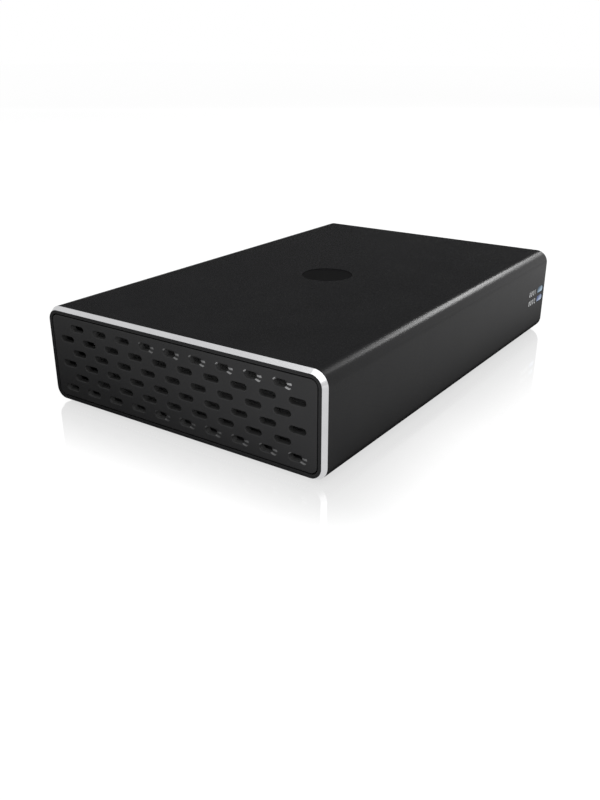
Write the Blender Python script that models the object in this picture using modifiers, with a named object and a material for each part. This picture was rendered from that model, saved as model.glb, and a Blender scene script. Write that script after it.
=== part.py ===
"""Two-bay network drive enclosure as an assembly of separate solids.

An extruded aluminium sleeve carries the front grille panel, two light pipes and four rubber feet.
A steel tray with two 2.5 inch drives, two circuit boards and the rear panel slides out of the
sleeve's rear mouth. Units are metres and +Z is up. The grille faces -Y, and the origin is on the
floor under the middle of the enclosure.
"""

import math
from collections import namedtuple

import bmesh
import bpy
from mathutils import Matrix, Vector

MM = 0.001

# Drives, 2.5 inch form factor
DRIVE_WIDTH = 69.85 * MM
DRIVE_LENGTH = 100.45 * MM
DRIVE_HEIGHT = 9.5 * MM
DRIVE_CORNER = 2.0 * MM
DRIVE_RIM = 5.0 * MM
DRIVE_TAIL = 8.5 * MM
DRIVE_FLOOR = 1.6 * MM
DRIVE_COVER = 0.8 * MM
DRIVE_BOARD = 1.0 * MM
DRIVE_BOARD_LENGTH = 42.0 * MM
DRIVE_HOLE_TO_REAR = 14.0 * MM
DRIVE_HOLE_TO_FRONT = 9.85 * MM
DRIVE_HOLE_RISE = 3.0 * MM
DRIVE_HOLE_DEPTH = 3.6 * MM
PLUG_WIDTH = 34.0 * MM
PLUG_HEIGHT = 4.4 * MM
PLUG_BASE = 2.0 * MM
PLUG_TONGUE = 1.1 * MM
PLUG_REACH = 3.0 * MM

# Clearances
SEAT_GAP = 0.3 * MM
SOLDER_GAP = 0.1 * MM
SCREW_GAP = 0.15 * MM
PANEL_GAP = 0.35 * MM
DRIVE_GAP = 1.4 * MM
HEADROOM = 1.3 * MM
BOARD_EDGE_GAP = 0.5 * MM

# Sleeve
WALL = 1.7 * MM
CORNER_RADIUS = 3.85 * MM
EDGE_CUT_IN = 0.85 * MM
EDGE_CUT_BACK = 1.25 * MM
CHANNEL = 4.8 * MM
CHANNEL_BORE = 1.0 * MM
BADGE_RADIUS = 7.5 * MM
BADGE_DEPTH = 0.2 * MM
FOOT_RADIUS = 4.5 * MM
FOOT_PROUD = 0.4 * MM
FOOT_POCKET = 0.8 * MM
FOOT_INSET_X = 12.0 * MM
FOOT_INSET_Y = 14.0 * MM

# Front panel
PANEL_THICK = 1.6 * MM
SKIRT_WALL = 1.2 * MM
SKIRT_DEPTH = 4.0 * MM
PEG_REACH = 5.0 * MM
PEG_POST = 1.5 * MM
SLOT_LENGTH = 4.6 * MM
SLOT_HEIGHT = 1.6 * MM
SLOT_PITCH = 8.14 * MM
ROW_PITCH = 3.41 * MM
SLOT_EDGE = 0.3 * MM
PLENUM = 2.0 * MM

# Tray, boards and rear bay
TRAY_SHEET = 0.8 * MM
TRAY_WALL_OVER_HOLE = 3.5 * MM
TRAY_STRIP = 1.5 * MM
SOCKET_DEPTH = 4.0 * MM
BACKPLANE_THICK = 1.6 * MM
BOARD_THICK = 1.2 * MM
REAR_BAY = 20.95 * MM
REAR_THICK = 1.4 * MM
REAR_RECESS = 0.4 * MM
REAR_VENT_INSET = 2.2 * MM
TAB_SCREW_X = 22.0 * MM
STANDOFF_RADIUS = 2.2 * MM
STANDOFF_CLEAR = 0.8 * MM
STANDOFF_SETBACK = 2.5 * MM

# Parts on the boards
CHIP_SIDE = 10.0 * MM
CHIP_HEIGHT = 1.0 * MM
LINK_WIDTH = 20.0 * MM
LINK_DEPTH = 6.0 * MM
LINK_HEIGHT = 5.0 * MM
LINK_OFFSET = 12.0 * MM
CAN_RADIUS = 2.0 * MM
CAN_HEIGHT = 5.4 * MM
CAN_GAP = 0.8 * MM
CAN_FOOT = 0.8 * MM
CAN_GROOVE = 0.2 * MM

# Sockets and switches along the rear panel
PORT_MARGIN = 2.4 * MM
PORT_FIT = 0.3 * MM
LAN_WIDTH = 15.6 * MM
LAN_HEIGHT = 11.0 * MM
LAN_BACK = 3.0 * MM
LAN_MOUTH_WIDTH = 11.8 * MM
LAN_MOUTH_HEIGHT = 6.8 * MM
LAN_MOUTH_DEPTH = 11.0 * MM
LAN_LATCH_WIDTH = 6.2 * MM
LAN_LATCH_HEIGHT = 1.6 * MM
USB_WIDTH = 8.94 * MM
USB_HEIGHT = 3.26 * MM
USB_DEPTH = 7.4 * MM
USB_WALL = 0.3 * MM
USB_BASE = 1.2 * MM
USB_TONGUE_WIDTH = 6.7 * MM
USB_TONGUE_THICK = 0.7 * MM
USB_TONGUE_SETBACK = 0.8 * MM
JACK_WIDTH = 8.6 * MM
JACK_HEIGHT = 9.0 * MM
JACK_BACK = 2.0 * MM
JACK_BORE = 3.1 * MM
JACK_BORE_DEPTH = 9.0 * MM
JACK_PIN = 1.0 * MM
SWITCH_WALL = 1.2 * MM
SWITCH_BASE_DEPTH = 2.0 * MM
POWER_TRAVEL = 2.0 * MM
POWER_BASE = 3.4 * MM
POWER_KNOB = 2.2 * MM
POWER_KNOB_HEIGHT = 1.6 * MM
POWER_KNOB_PROUD = 1.0 * MM
MODE_TRAVEL = 1.5 * MM
MODE_BASE = 2.2 * MM
MODE_KNOB = 1.2 * MM
MODE_KNOB_PROUD = 0.7 * MM
BUTTON_TRAVEL = 0.8 * MM
BUTTON_RADIUS = 1.6 * MM
BUTTON_FLANGE = 0.7 * MM
BUTTON_PROUD = 0.8 * MM
BUTTON_BLOCK = 5.2 * MM
BUTTON_BLOCK_DEPTH = 3.4 * MM

# Light windows and their light sources
WINDOW_LENGTH = 5.2 * MM
WINDOW_HEIGHT = 2.0 * MM
WINDOW_GAP = 1.0 * MM
WINDOW_DROP = 0.2 * MM
WINDOW_TO_PANEL = 0.45 * MM
WINDOW_FIT = 0.1 * MM
WINDOW_FLANGE = 0.7 * MM
WINDOW_LIP = 0.35 * MM
LED_RADIUS = 0.9 * MM
LED_LENGTH = 3.2 * MM
LED_PROUD = 0.7 * MM
LED_HOLDER = 4.0 * MM

# Screws, with radii for heads and shanks, and lengths under the head
REAR_HEAD = 1.65 * MM
REAR_HEAD_HEIGHT = 0.8 * MM
REAR_SHANK = 0.85 * MM
REAR_LENGTH = 5.0 * MM
DRIVE_HEAD = 2.3 * MM
DRIVE_HEAD_HEIGHT = 0.9 * MM
DRIVE_SHANK = 1.4 * MM
DRIVE_SCREW_LENGTH = 3.4 * MM
BOARD_HEAD = 1.9 * MM
BOARD_HEAD_HEIGHT = 1.2 * MM
BOARD_SHANK = 0.95 * MM
BOARD_SCREW_LENGTH = 4.0 * MM
HEAD_EDGE = 0.2 * MM
KEY_DEPTH = 0.5 * MM
Screw = namedtuple("Screw", "head head_height shank length key")
REAR_SCREW = Screw(REAR_HEAD, REAR_HEAD_HEIGHT, REAR_SHANK, REAR_LENGTH, REAR_SHANK)
DRIVE_SCREW = Screw(DRIVE_HEAD, DRIVE_HEAD_HEIGHT, DRIVE_SHANK, DRIVE_SCREW_LENGTH, REAR_SHANK)
BOARD_SCREW = Screw(BOARD_HEAD, BOARD_HEAD_HEIGHT, BOARD_SHANK, BOARD_SCREW_LENGTH, REAR_SHANK)

# Facets
ROUND_STEPS = 24
SCREW_STEPS = 12
PILL_STEPS = 12
CORNER_STEPS = 6
DRIVE_CORNER_STEPS = 3
KEY_STEPS = 6
LED_DOME_STEPS = 3
SHARP_ANGLE = math.radians(30)
CUT_OVER = 1.0 * MM
LEAST_RADIUS = 0.3 * MM
LEAST_EDGE = 0.001 * MM

# Widths, outwards from the middle plane
TRAY_HALF = DRIVE_WIDTH / 2 + SEAT_GAP + TRAY_SHEET
CHANNEL_X = TRAY_HALF + SOLDER_GAP + DRIVE_HEAD_HEIGHT + SEAT_GAP
INNER_HALF = CHANNEL_X + CHANNEL
BODY_HALF = INNER_HALF + WALL
PANEL_HALF = INNER_HALF - PANEL_GAP
BORE_X = INNER_HALF - CHANNEL / 2
BOARD_HALF = INNER_HALF - WINDOW_FLANGE - SEAT_GAP - LED_PROUD - SOLDER_GAP

# Heights, upwards from the floor
SLEEVE_Z = FOOT_PROUD
FLOOR_Z = SLEEVE_Z + WALL
TRAY_Z = FLOOR_Z + SEAT_GAP
TRAY_TOP_Z = TRAY_Z + TRAY_SHEET
DRIVE_1_Z = TRAY_TOP_Z + SEAT_GAP
DRIVE_2_Z = DRIVE_1_Z + DRIVE_HEIGHT + DRIVE_GAP
ROOF_Z = DRIVE_2_Z + DRIVE_HEIGHT + HEADROOM
TOP_Z = ROOF_Z + WALL
MID_Z = (SLEEVE_Z + TOP_Z) / 2
BORE_HEIGHTS = (FLOOR_Z + CHANNEL / 2, ROOF_Z - CHANNEL / 2)
TRAY_WALL_Z = DRIVE_2_Z + DRIVE_HOLE_RISE + TRAY_WALL_OVER_HOLE
BOARD_Z = FLOOR_Z + CHANNEL + SEAT_GAP
BOARD_TOP_Z = BOARD_Z + BOARD_THICK
PART_Z = BOARD_TOP_Z + SOLDER_GAP
TAB_Z = BOARD_Z - BOARD_EDGE_GAP
WINDOW_PITCH = WINDOW_HEIGHT + WINDOW_GAP
WINDOW_HEIGHTS = (
    MID_Z - WINDOW_DROP + WINDOW_PITCH / 2,
    MID_Z - WINDOW_DROP - WINDOW_PITCH / 2,
)

# Depths, from the front end to the rear
BODY_DEPTH = (
    PANEL_THICK + SKIRT_DEPTH + PLENUM + DRIVE_LENGTH + SOCKET_DEPTH + BACKPLANE_THICK
    + REAR_BAY + REAR_THICK + REAR_RECESS
)
OVERHANG = max(0.0, POWER_KNOB_PROUD - REAR_RECESS)
FRONT_Y = -(BODY_DEPTH + OVERHANG) / 2
PANEL_BACK_Y = FRONT_Y + PANEL_THICK
SKIRT_END_Y = PANEL_BACK_Y + SKIRT_DEPTH
TRAY_FRONT_Y = SKIRT_END_Y + PLENUM
DRIVE_REAR_Y = TRAY_FRONT_Y + DRIVE_LENGTH
BACKPLANE_Y = DRIVE_REAR_Y + SOCKET_DEPTH
BACKPLANE_REAR_Y = BACKPLANE_Y + BACKPLANE_THICK
REAR_INNER_Y = BACKPLANE_REAR_Y + REAR_BAY
REAR_FACE_Y = REAR_INNER_Y + REAR_THICK
REAR_Y = REAR_FACE_Y + REAR_RECESS
PORT_Y = REAR_INNER_Y - SEAT_GAP
STRIP_END_Y = BACKPLANE_REAR_Y + SEAT_GAP + TRAY_STRIP
BOARD_FRONT_Y = STRIP_END_Y + BOARD_EDGE_GAP
BOARD_REAR_Y = REAR_INNER_Y - BOARD_EDGE_GAP
WINDOW_Y = REAR_INNER_Y - WINDOW_TO_PANEL - WINDOW_LENGTH / 2
STANDOFF_X = TRAY_HALF - TRAY_SHEET - STANDOFF_CLEAR - STANDOFF_RADIUS
STANDOFF_Y = BOARD_FRONT_Y + STANDOFF_SETBACK

# Switch blocks, sized round their sliders
POWER_BLOCK_WIDTH = POWER_BASE + POWER_TRAVEL + 2 * SEAT_GAP + 2 * SWITCH_WALL
POWER_BLOCK_HEIGHT = POWER_KNOB_HEIGHT + 4 * SEAT_GAP + 2 * SWITCH_WALL
MODE_PITCH = MODE_BASE + 2 * SEAT_GAP + SWITCH_WALL
MODE_BLOCK_WIDTH = 2 * MODE_PITCH + SWITCH_WALL
SWITCH_DEPTH = SWITCH_BASE_DEPTH + SEAT_GAP + 2 * SWITCH_WALL
MODE_BLOCK_HEIGHT = MODE_BASE + MODE_TRAVEL + 2 * SEAT_GAP + 2 * SWITCH_WALL
PORT_WIDTHS = {
    "power": POWER_BLOCK_WIDTH,
    "set": BUTTON_BLOCK,
    "mode": MODE_BLOCK_WIDTH,
    "usb": USB_WIDTH,
    "lan": LAN_WIDTH,
    "jack": JACK_WIDTH,
}

# Turns that lay a shape made along Z along another axis
ALONG = {
    "X": Matrix(((0, 0, 1), (1, 0, 0), (0, 1, 0))).to_4x4(),
    "Y": Matrix(((1, 0, 0), (0, 0, 1), (0, -1, 0))).to_4x4(),
    "Z": Matrix.Identity(4),
}


def clear_scene():
    for old in list(bpy.data.objects):
        bpy.data.objects.remove(old, do_unlink=True)


def new_collection(name):
    made = bpy.data.collections.new(name)
    bpy.context.scene.collection.children.link(made)
    return made


clear_scene()
PARTS = new_collection("drive_enclosure")
TOOLS = new_collection("cutters")


def finish(name, colour, roughness, metallic=0.0):
    """A plain Principled material."""
    made = bpy.data.materials.new(name)
    made.use_nodes = True
    shader = made.node_tree.nodes["Principled BSDF"]
    shader.inputs["Base Color"].default_value = (*colour, 1.0)
    shader.inputs["Roughness"].default_value = roughness
    shader.inputs["Metallic"].default_value = metallic
    return made


BLACK_ANODISED = finish("black_anodised", (0.018, 0.018, 0.019), 0.45, 0.6)
BRIGHT_CUT = finish("bright_cut", (0.86, 0.86, 0.87), 0.22, 1.0)
BLACK_PLASTIC = finish("black_plastic", (0.020, 0.020, 0.021), 0.5)
SWITCH_PLASTIC = finish("switch_plastic", (0.03, 0.03, 0.032), 0.4)
BLACK_RUBBER = finish("black_rubber", (0.025, 0.025, 0.025), 0.85)
BLACK_PAINT = finish("black_painted_sheet", (0.022, 0.022, 0.023), 0.5)
CLEAR_LENS = finish("clear_lens", (0.75, 0.85, 0.98), 0.15)
ZINC_STEEL = finish("zinc_plated_steel", (0.62, 0.63, 0.64), 0.35, 1.0)
DARK_SCREW = finish("black_screw_steel", (0.03, 0.03, 0.03), 0.4, 0.8)
CAST_ALUMINIUM = finish("cast_aluminium", (0.50, 0.51, 0.52), 0.5, 1.0)
GREEN_BOARD = finish("green_board", (0.02, 0.12, 0.05), 0.45)
CHIP_EPOXY = finish("chip_epoxy", (0.02, 0.02, 0.02), 0.55)
CAN_METAL = finish("can_metal", (0.70, 0.70, 0.72), 0.3, 1.0)
LIT_LENS = finish("lit_lens", (0.35, 0.60, 0.95), 0.2)


def box(bm, low, high):
    """A box between two corners; returns its corner points."""
    low, high = Vector(low), Vector(high)
    place = Matrix.Translation((low + high) / 2) @ Matrix.Diagonal((*(high - low), 1.0))
    return bmesh.ops.create_cube(bm, size=1.0, matrix=place)["verts"]


def edges_along(edges, direction):
    return [e for e in edges if (e.verts[1].co - e.verts[0].co).cross(direction).length < LEAST_EDGE]


def rounded_bar(bm, half_width, low_z, high_z, front_y, rear_y, radius):
    """A bar along Y with rounded long edges."""
    corners = box(bm, (-half_width, front_y, low_z), (half_width, rear_y, high_z))
    edges = {edge for corner in corners for edge in corner.link_edges}
    long_edges = edges_along(edges, Vector((0, 1, 0)))
    bmesh.ops.bevel(
        bm, geom=long_edges, offset=radius, segments=CORNER_STEPS, profile=0.5, affect="EDGES"
    )


def round_upright_edges(bm, radius):
    upright = edges_along(bm.edges, Vector((0, 0, 1)))
    bmesh.ops.bevel(
        bm, geom=upright, offset=radius, segments=DRIVE_CORNER_STEPS, profile=0.5, affect="EDGES"
    )


def cylinder(bm, centre, radius, length, axis, steps=ROUND_STEPS, end_radius=None):
    """A cylinder, or a cone with end_radius at its far end, centred on a point."""
    place = Matrix.Translation(centre) @ ALONG[axis]
    bmesh.ops.create_cone(
        bm, cap_ends=True, segments=steps, radius1=radius,
        radius2=radius if end_radius is None else end_radius, depth=length, matrix=place,
    )


def pill(bm, centre, length, height, depth, axis):
    """An obround bar through axis X or Y, longest along the other of the two."""
    radius = height / 2 / math.cos(math.pi / PILL_STEPS)
    half_turn = Matrix.Rotation(math.pi / PILL_STEPS, 4, "Z")
    made = bmesh.ops.create_cone(
        bm, cap_ends=True, segments=PILL_STEPS, radius1=radius, radius2=radius, depth=depth,
        matrix=half_turn,
    )
    for point in made["verts"]:
        point.co.x += math.copysign((length - height) / 2, point.co.x)
    bmesh.ops.transform(bm, verts=made["verts"], matrix=Matrix.Translation(centre) @ ALONG[axis])


def add_object(name, mesh, location, parent=None, rotation=(0.0, 0.0, 0.0)):
    made = bpy.data.objects.new(name, mesh)
    PARTS.objects.link(made)
    made.rotation_euler = rotation
    made.location = Vector(location)
    if parent is not None:
        made.parent = parent
        made.location -= parent.location
    return made


def add_part(name, bm, material, parent, origin=(0.0, 0.0, 0.0)):
    """A part from points in world places, with its object's origin set where it is asked for."""
    bmesh.ops.translate(bm, verts=bm.verts, vec=-Vector(origin))
    mesh = bpy.data.meshes.new(name)
    bm.to_mesh(mesh)
    bm.free()
    mesh.materials.append(material)
    mesh.shade_smooth()
    mesh.set_sharp_from_angle(angle=SHARP_ANGLE)
    return add_object(name, mesh, origin, parent)


def add_tool(name, bm):
    """A cutter, or a block that is joined on, hidden from the finished model."""
    mesh = bpy.data.meshes.new(name)
    bm.to_mesh(mesh)
    bm.free()
    made = bpy.data.objects.new(name, mesh)
    TOOLS.objects.link(made)
    made.hide_render = True
    made.display_type = "WIRE"
    return made


def combine(part, tool, operation):
    step = part.modifiers.new(f"{operation.lower()}_{tool.name}", "BOOLEAN")
    step.operation = operation
    step.object = tool


def cut(part, tool):
    combine(part, tool, "DIFFERENCE")


def join(part, tool):
    combine(part, tool, "UNION")


def turned_mesh(name, profile, material, steps, tool=None):
    """A mesh turned about Z from (radius, height) points, top to bottom, less a tool."""
    mesh = bpy.data.meshes.new(f"{name}_profile")
    points = [(radius, 0.0, height) for radius, height in profile]
    mesh.from_pydata(points, [(i, i + 1) for i in range(len(points) - 1)], [])
    blank = bpy.data.objects.new(f"{name}_blank", mesh)
    TOOLS.objects.link(blank)
    turn = blank.modifiers.new("turn", "SCREW")
    turn.axis = "Z"
    turn.steps = steps
    turn.render_steps = steps
    turn.use_merge_vertices = True
    turn.merge_threshold = LEAST_EDGE
    if tool is not None:
        cut(blank, tool)
    solid = bpy.data.meshes.new_from_object(
        blank.evaluated_get(bpy.context.evaluated_depsgraph_get())
    )
    bpy.data.objects.remove(blank, do_unlink=True)
    solid.name = name
    solid.materials.clear()
    solid.materials.append(material)
    solid.shade_smooth()
    solid.set_sharp_from_angle(angle=SHARP_ANGLE)
    return solid


def screw_mesh(name, sizes, material, flush):
    """A screw along Z with a hexagon socket; its head seats at height 0, or lies under it if flush."""
    top = 0.0 if flush else sizes.head_height
    seat = top - sizes.head_height
    tip = seat - sizes.length
    head = [(sizes.head, top)]
    if not flush:
        head = [(sizes.head - HEAD_EDGE, top), (sizes.head, top - HEAD_EDGE), (sizes.head, seat)]
    profile = [(0.0, top), *head, (sizes.shank, seat), (sizes.shank, tip), (0.0, tip)]
    bm = bmesh.new()
    cylinder(bm, (0.0, 0.0, top), sizes.key, 2 * KEY_DEPTH, "Z", KEY_STEPS)
    socket = add_tool(f"{name}_socket", bm)
    solid = turned_mesh(name, profile, material, SCREW_STEPS, socket)
    bpy.data.objects.remove(socket, do_unlink=True)
    return solid


FACE_REAR = (-math.pi / 2, 0.0, 0.0)
FACE_RIGHT = (0.0, math.pi / 2, 0.0)
FACE_LEFT = (0.0, -math.pi / 2, 0.0)


def both_sides(value):
    return (-value, value)


def port_centres():
    """The middle of each socket and switch, spread evenly along the main board's rear edge."""
    span = 2 * (BOARD_HALF - LED_HOLDER - PORT_MARGIN)
    gap = (span - sum(PORT_WIDTHS.values())) / (len(PORT_WIDTHS) - 1)
    left = -span / 2
    centres = {}
    for name, width in PORT_WIDTHS.items():
        centres[name] = left + width / 2
        left += width + gap
    return centres


PORT_X = port_centres()


def foot_places():
    foot_y = (REAR_Y - FRONT_Y) / 2 - FOOT_INSET_Y
    middle_y = (REAR_Y + FRONT_Y) / 2
    return [
        (x, middle_y + y)
        for y in both_sides(foot_y)
        for x in both_sides(BODY_HALF - FOOT_INSET_X)
    ]


def make_sleeve(root):
    """The extruded sleeve: rounded tube, bright-cut ends, screw channels and window holes."""
    bm = bmesh.new()
    rounded_bar(
        bm, BODY_HALF, SLEEVE_Z, TOP_Z, FRONT_Y + EDGE_CUT_BACK, REAR_Y - EDGE_CUT_BACK, CORNER_RADIUS
    )
    for end in (-1, 1):
        face = max(bm.faces, key=lambda f: end * f.calc_center_median().y)
        ring = bmesh.ops.inset_region(bm, faces=[face], thickness=EDGE_CUT_IN, use_even_offset=True)
        bmesh.ops.translate(bm, verts=face.verts, vec=(0.0, end * EDGE_CUT_BACK, 0.0))
        for cut_face in ring["faces"]:
            cut_face.material_index = 1
    sleeve = add_part("sleeve", bm, BLACK_ANODISED, root)
    sleeve.data.materials.append(BRIGHT_CUT)

    bm = bmesh.new()
    rounded_bar(
        bm, INNER_HALF, FLOOR_Z, ROOF_Z, FRONT_Y - CUT_OVER, REAR_Y + CUT_OVER, CORNER_RADIUS - WALL
    )
    hollow = add_tool("sleeve_hollow", bm)
    channel_front = SKIRT_END_Y + SEAT_GAP
    channel_rear = REAR_INNER_Y - SEAT_GAP
    bm = bmesh.new()
    for side in (-1, 1):
        near, far = sorted((side * CHANNEL_X, side * (INNER_HALF + WALL / 2)))
        box(bm, (near, channel_front, FLOOR_Z - WALL / 2), (far, channel_rear, FLOOR_Z + CHANNEL))
        box(bm, (near, channel_front, ROOF_Z - CHANNEL), (far, channel_rear, ROOF_Z + WALL / 2))
    cut(hollow, add_tool("screw_channels", bm))
    cut(sleeve, hollow)

    bm = bmesh.new()
    bore_length = channel_rear - channel_front + 2 * CUT_OVER
    bore_y = (channel_front + channel_rear) / 2
    for x in both_sides(BORE_X):
        for z in BORE_HEIGHTS:
            cylinder(bm, (x, bore_y, z), CHANNEL_BORE, bore_length, "Y", SCREW_STEPS)
    for z in WINDOW_HEIGHTS:
        pill(
            bm, (BODY_HALF - WALL / 2, WINDOW_Y, z), WINDOW_LENGTH + 2 * WINDOW_FIT,
            WINDOW_HEIGHT + 2 * WINDOW_FIT, WALL + 2 * CUT_OVER, "X",
        )
    for x, y in foot_places():
        cylinder(
            bm, (x, y, SLEEVE_Z + (FOOT_POCKET - CUT_OVER) / 2), FOOT_RADIUS + SCREW_GAP,
            FOOT_POCKET + CUT_OVER, "Z",
        )
    cylinder(
        bm, (0.0, (FRONT_Y + REAR_Y) / 2, TOP_Z + (CUT_OVER - BADGE_DEPTH) / 2), BADGE_RADIUS,
        BADGE_DEPTH + CUT_OVER, "Z", 2 * ROUND_STEPS,
    )
    cut(sleeve, add_tool("sleeve_bores_and_pockets", bm))


def make_feet(root):
    top = SLEEVE_Z + FOOT_POCKET - SEAT_GAP
    for number, (x, y) in enumerate(foot_places(), 1):
        bm = bmesh.new()
        cylinder(bm, (x, y, top / 2), FOOT_RADIUS, top, "Z")
        add_part(f"foot_{number}", bm, BLACK_RUBBER, root, (x, y, 0.0))


def slot_rows(half_width, low_z, high_z):
    """Middles of a staggered slot pattern that fits a panel, edges kept clear."""
    margin = SKIRT_WALL + SLOT_EDGE
    columns = math.floor((2 * half_width - 2 * margin - SLOT_LENGTH) / SLOT_PITCH) + 1
    rows = math.floor((high_z - low_z - 2 * margin - SLOT_HEIGHT) / ROW_PITCH) + 1
    middle_z = (low_z + high_z) / 2
    for row in range(rows):
        count = columns if row % 2 == 0 else columns - 1
        z = middle_z + (row - (rows - 1) / 2) * ROW_PITCH
        for column in range(count):
            yield (column - (count - 1) / 2) * SLOT_PITCH, z


def make_front_panel(root):
    """The grille panel: a plate with a skirt, and pegs that push into the screw channels."""
    low_z, high_z = FLOOR_Z + PANEL_GAP, ROOF_Z - PANEL_GAP
    radius = max(CORNER_RADIUS - WALL - PANEL_GAP, LEAST_RADIUS)
    bm = bmesh.new()
    rounded_bar(bm, PANEL_HALF, low_z, high_z, FRONT_Y, SKIRT_END_Y, radius)
    panel = add_part("front_panel", bm, BLACK_PLASTIC, root)
    bm = bmesh.new()
    rounded_bar(
        bm, PANEL_HALF - SKIRT_WALL, low_z + SKIRT_WALL, high_z - SKIRT_WALL, PANEL_BACK_Y,
        SKIRT_END_Y + CUT_OVER, max(radius - SKIRT_WALL, LEAST_RADIUS),
    )
    cut(panel, add_tool("panel_hollow", bm))
    post_start, post_end = PANEL_BACK_Y - PANEL_THICK / 2, SKIRT_END_Y + SEAT_GAP - SOLDER_GAP
    peg_start, peg_end = SKIRT_END_Y, SKIRT_END_Y + SEAT_GAP + PEG_REACH
    stages = (
        ("panel_posts", PEG_POST, post_start, post_end),
        ("panel_pegs", CHANNEL_BORE - SCREW_GAP, peg_start, peg_end),
    )
    for name, thickness, start, end in stages:
        bm = bmesh.new()
        for x in both_sides(BORE_X):
            for z in BORE_HEIGHTS:
                cylinder(bm, (x, (start + end) / 2, z), thickness, end - start, "Y", SCREW_STEPS)
        join(panel, add_tool(name, bm))
    bm = bmesh.new()
    for x, z in slot_rows(PANEL_HALF, low_z, high_z):
        centre = (x, (FRONT_Y + PANEL_BACK_Y) / 2, z)
        pill(bm, centre, SLOT_LENGTH, SLOT_HEIGHT, PANEL_THICK + CUT_OVER, "Y")
    cut(panel, add_tool("panel_slots", bm))


def make_light_pipes(root):
    nose = WALL + WINDOW_FLANGE / 2
    for number, z in enumerate(WINDOW_HEIGHTS, 1):
        bm = bmesh.new()
        pill(bm, (BODY_HALF - nose / 2, WINDOW_Y, z), WINDOW_LENGTH, WINDOW_HEIGHT, nose, "X")
        pipe = add_part(f"light_pipe_{number}", bm, CLEAR_LENS, root, (BODY_HALF, WINDOW_Y, z))
        bm = bmesh.new()
        flange_x = INNER_HALF - SOLDER_GAP - WINDOW_FLANGE / 2
        pill(
            bm, (flange_x, WINDOW_Y, z), WINDOW_LENGTH + WINDOW_FIT, WINDOW_HEIGHT + 2 * WINDOW_LIP,
            WINDOW_FLANGE, "X",
        )
        join(pipe, add_tool(f"light_pipe_{number}_flange", bm))


def make_tray(tray_root):
    """The sheet steel tray: channel for the drives, rear flange and board standoffs."""
    flange_rear = REAR_INNER_Y - SEAT_GAP
    bm = bmesh.new()
    box(bm, (-TRAY_HALF, TRAY_FRONT_Y, TRAY_Z), (TRAY_HALF, flange_rear, TRAY_WALL_Z))
    tray = add_part("tray", bm, ZINC_STEEL, tray_root)
    inside = TRAY_HALF - TRAY_SHEET
    above = TRAY_WALL_Z + CUT_OVER
    beyond = TRAY_HALF + CUT_OVER
    bm = bmesh.new()
    box(bm, (-inside, TRAY_FRONT_Y - CUT_OVER, TRAY_TOP_Z), (inside, flange_rear - TRAY_SHEET, above))
    cut(tray, add_tool("tray_channel", bm))
    bm = bmesh.new()
    box(bm, (-beyond, STRIP_END_Y, TAB_Z), (beyond, flange_rear + CUT_OVER, above))
    slot_low = TRAY_TOP_Z + TRAY_STRIP
    box(bm, (-beyond, BACKPLANE_Y - SEAT_GAP, slot_low), (beyond, BACKPLANE_REAR_Y + SEAT_GAP, above))
    cut(tray, add_tool("tray_rear_opening", bm))
    bm = bmesh.new()
    for x in both_sides(STANDOFF_X):
        low, high = TRAY_Z + TRAY_SHEET / 2, BOARD_Z - SOLDER_GAP
        cylinder(bm, (x, STANDOFF_Y, (low + high) / 2), STANDOFF_RADIUS, high - low, "Z", SCREW_STEPS)
    join(tray, add_tool("tray_standoffs", bm))
    bm = bmesh.new()
    for x in both_sides(STANDOFF_X):
        low = PART_Z - BOARD_SCREW.length - SEAT_GAP
        centre = (x, STANDOFF_Y, (low + BOARD_Z) / 2)
        cylinder(bm, centre, BOARD_SCREW.shank + SCREW_GAP, BOARD_Z - low, "Z", SCREW_STEPS)
    for x in both_sides(TAB_SCREW_X):
        centre = (x, flange_rear - TRAY_SHEET / 2, tab_screw_z())
        cylinder(bm, centre, REAR_SCREW.shank + SCREW_GAP, TRAY_SHEET + CUT_OVER, "Y", SCREW_STEPS)
    for side, y, z in drive_screw_places():
        centre = (side * (TRAY_HALF - TRAY_SHEET / 2), y, z)
        cylinder(bm, centre, DRIVE_SCREW.shank + SCREW_GAP, TRAY_SHEET + SEAT_GAP, "X", SCREW_STEPS)
    cut(tray, add_tool("tray_holes", bm))


def tab_screw_z():
    return (TRAY_TOP_Z + TAB_Z) / 2


def drive_screw_places():
    """Side, depth and height of each drive screw, four to a drive."""
    depths = (DRIVE_REAR_Y - DRIVE_HOLE_TO_REAR, TRAY_FRONT_Y + DRIVE_HOLE_TO_FRONT)
    return [
        (side, y, base + DRIVE_HOLE_RISE)
        for base in (DRIVE_1_Z, DRIVE_2_Z)
        for y in depths
        for side in (-1, 1)
    ]


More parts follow.
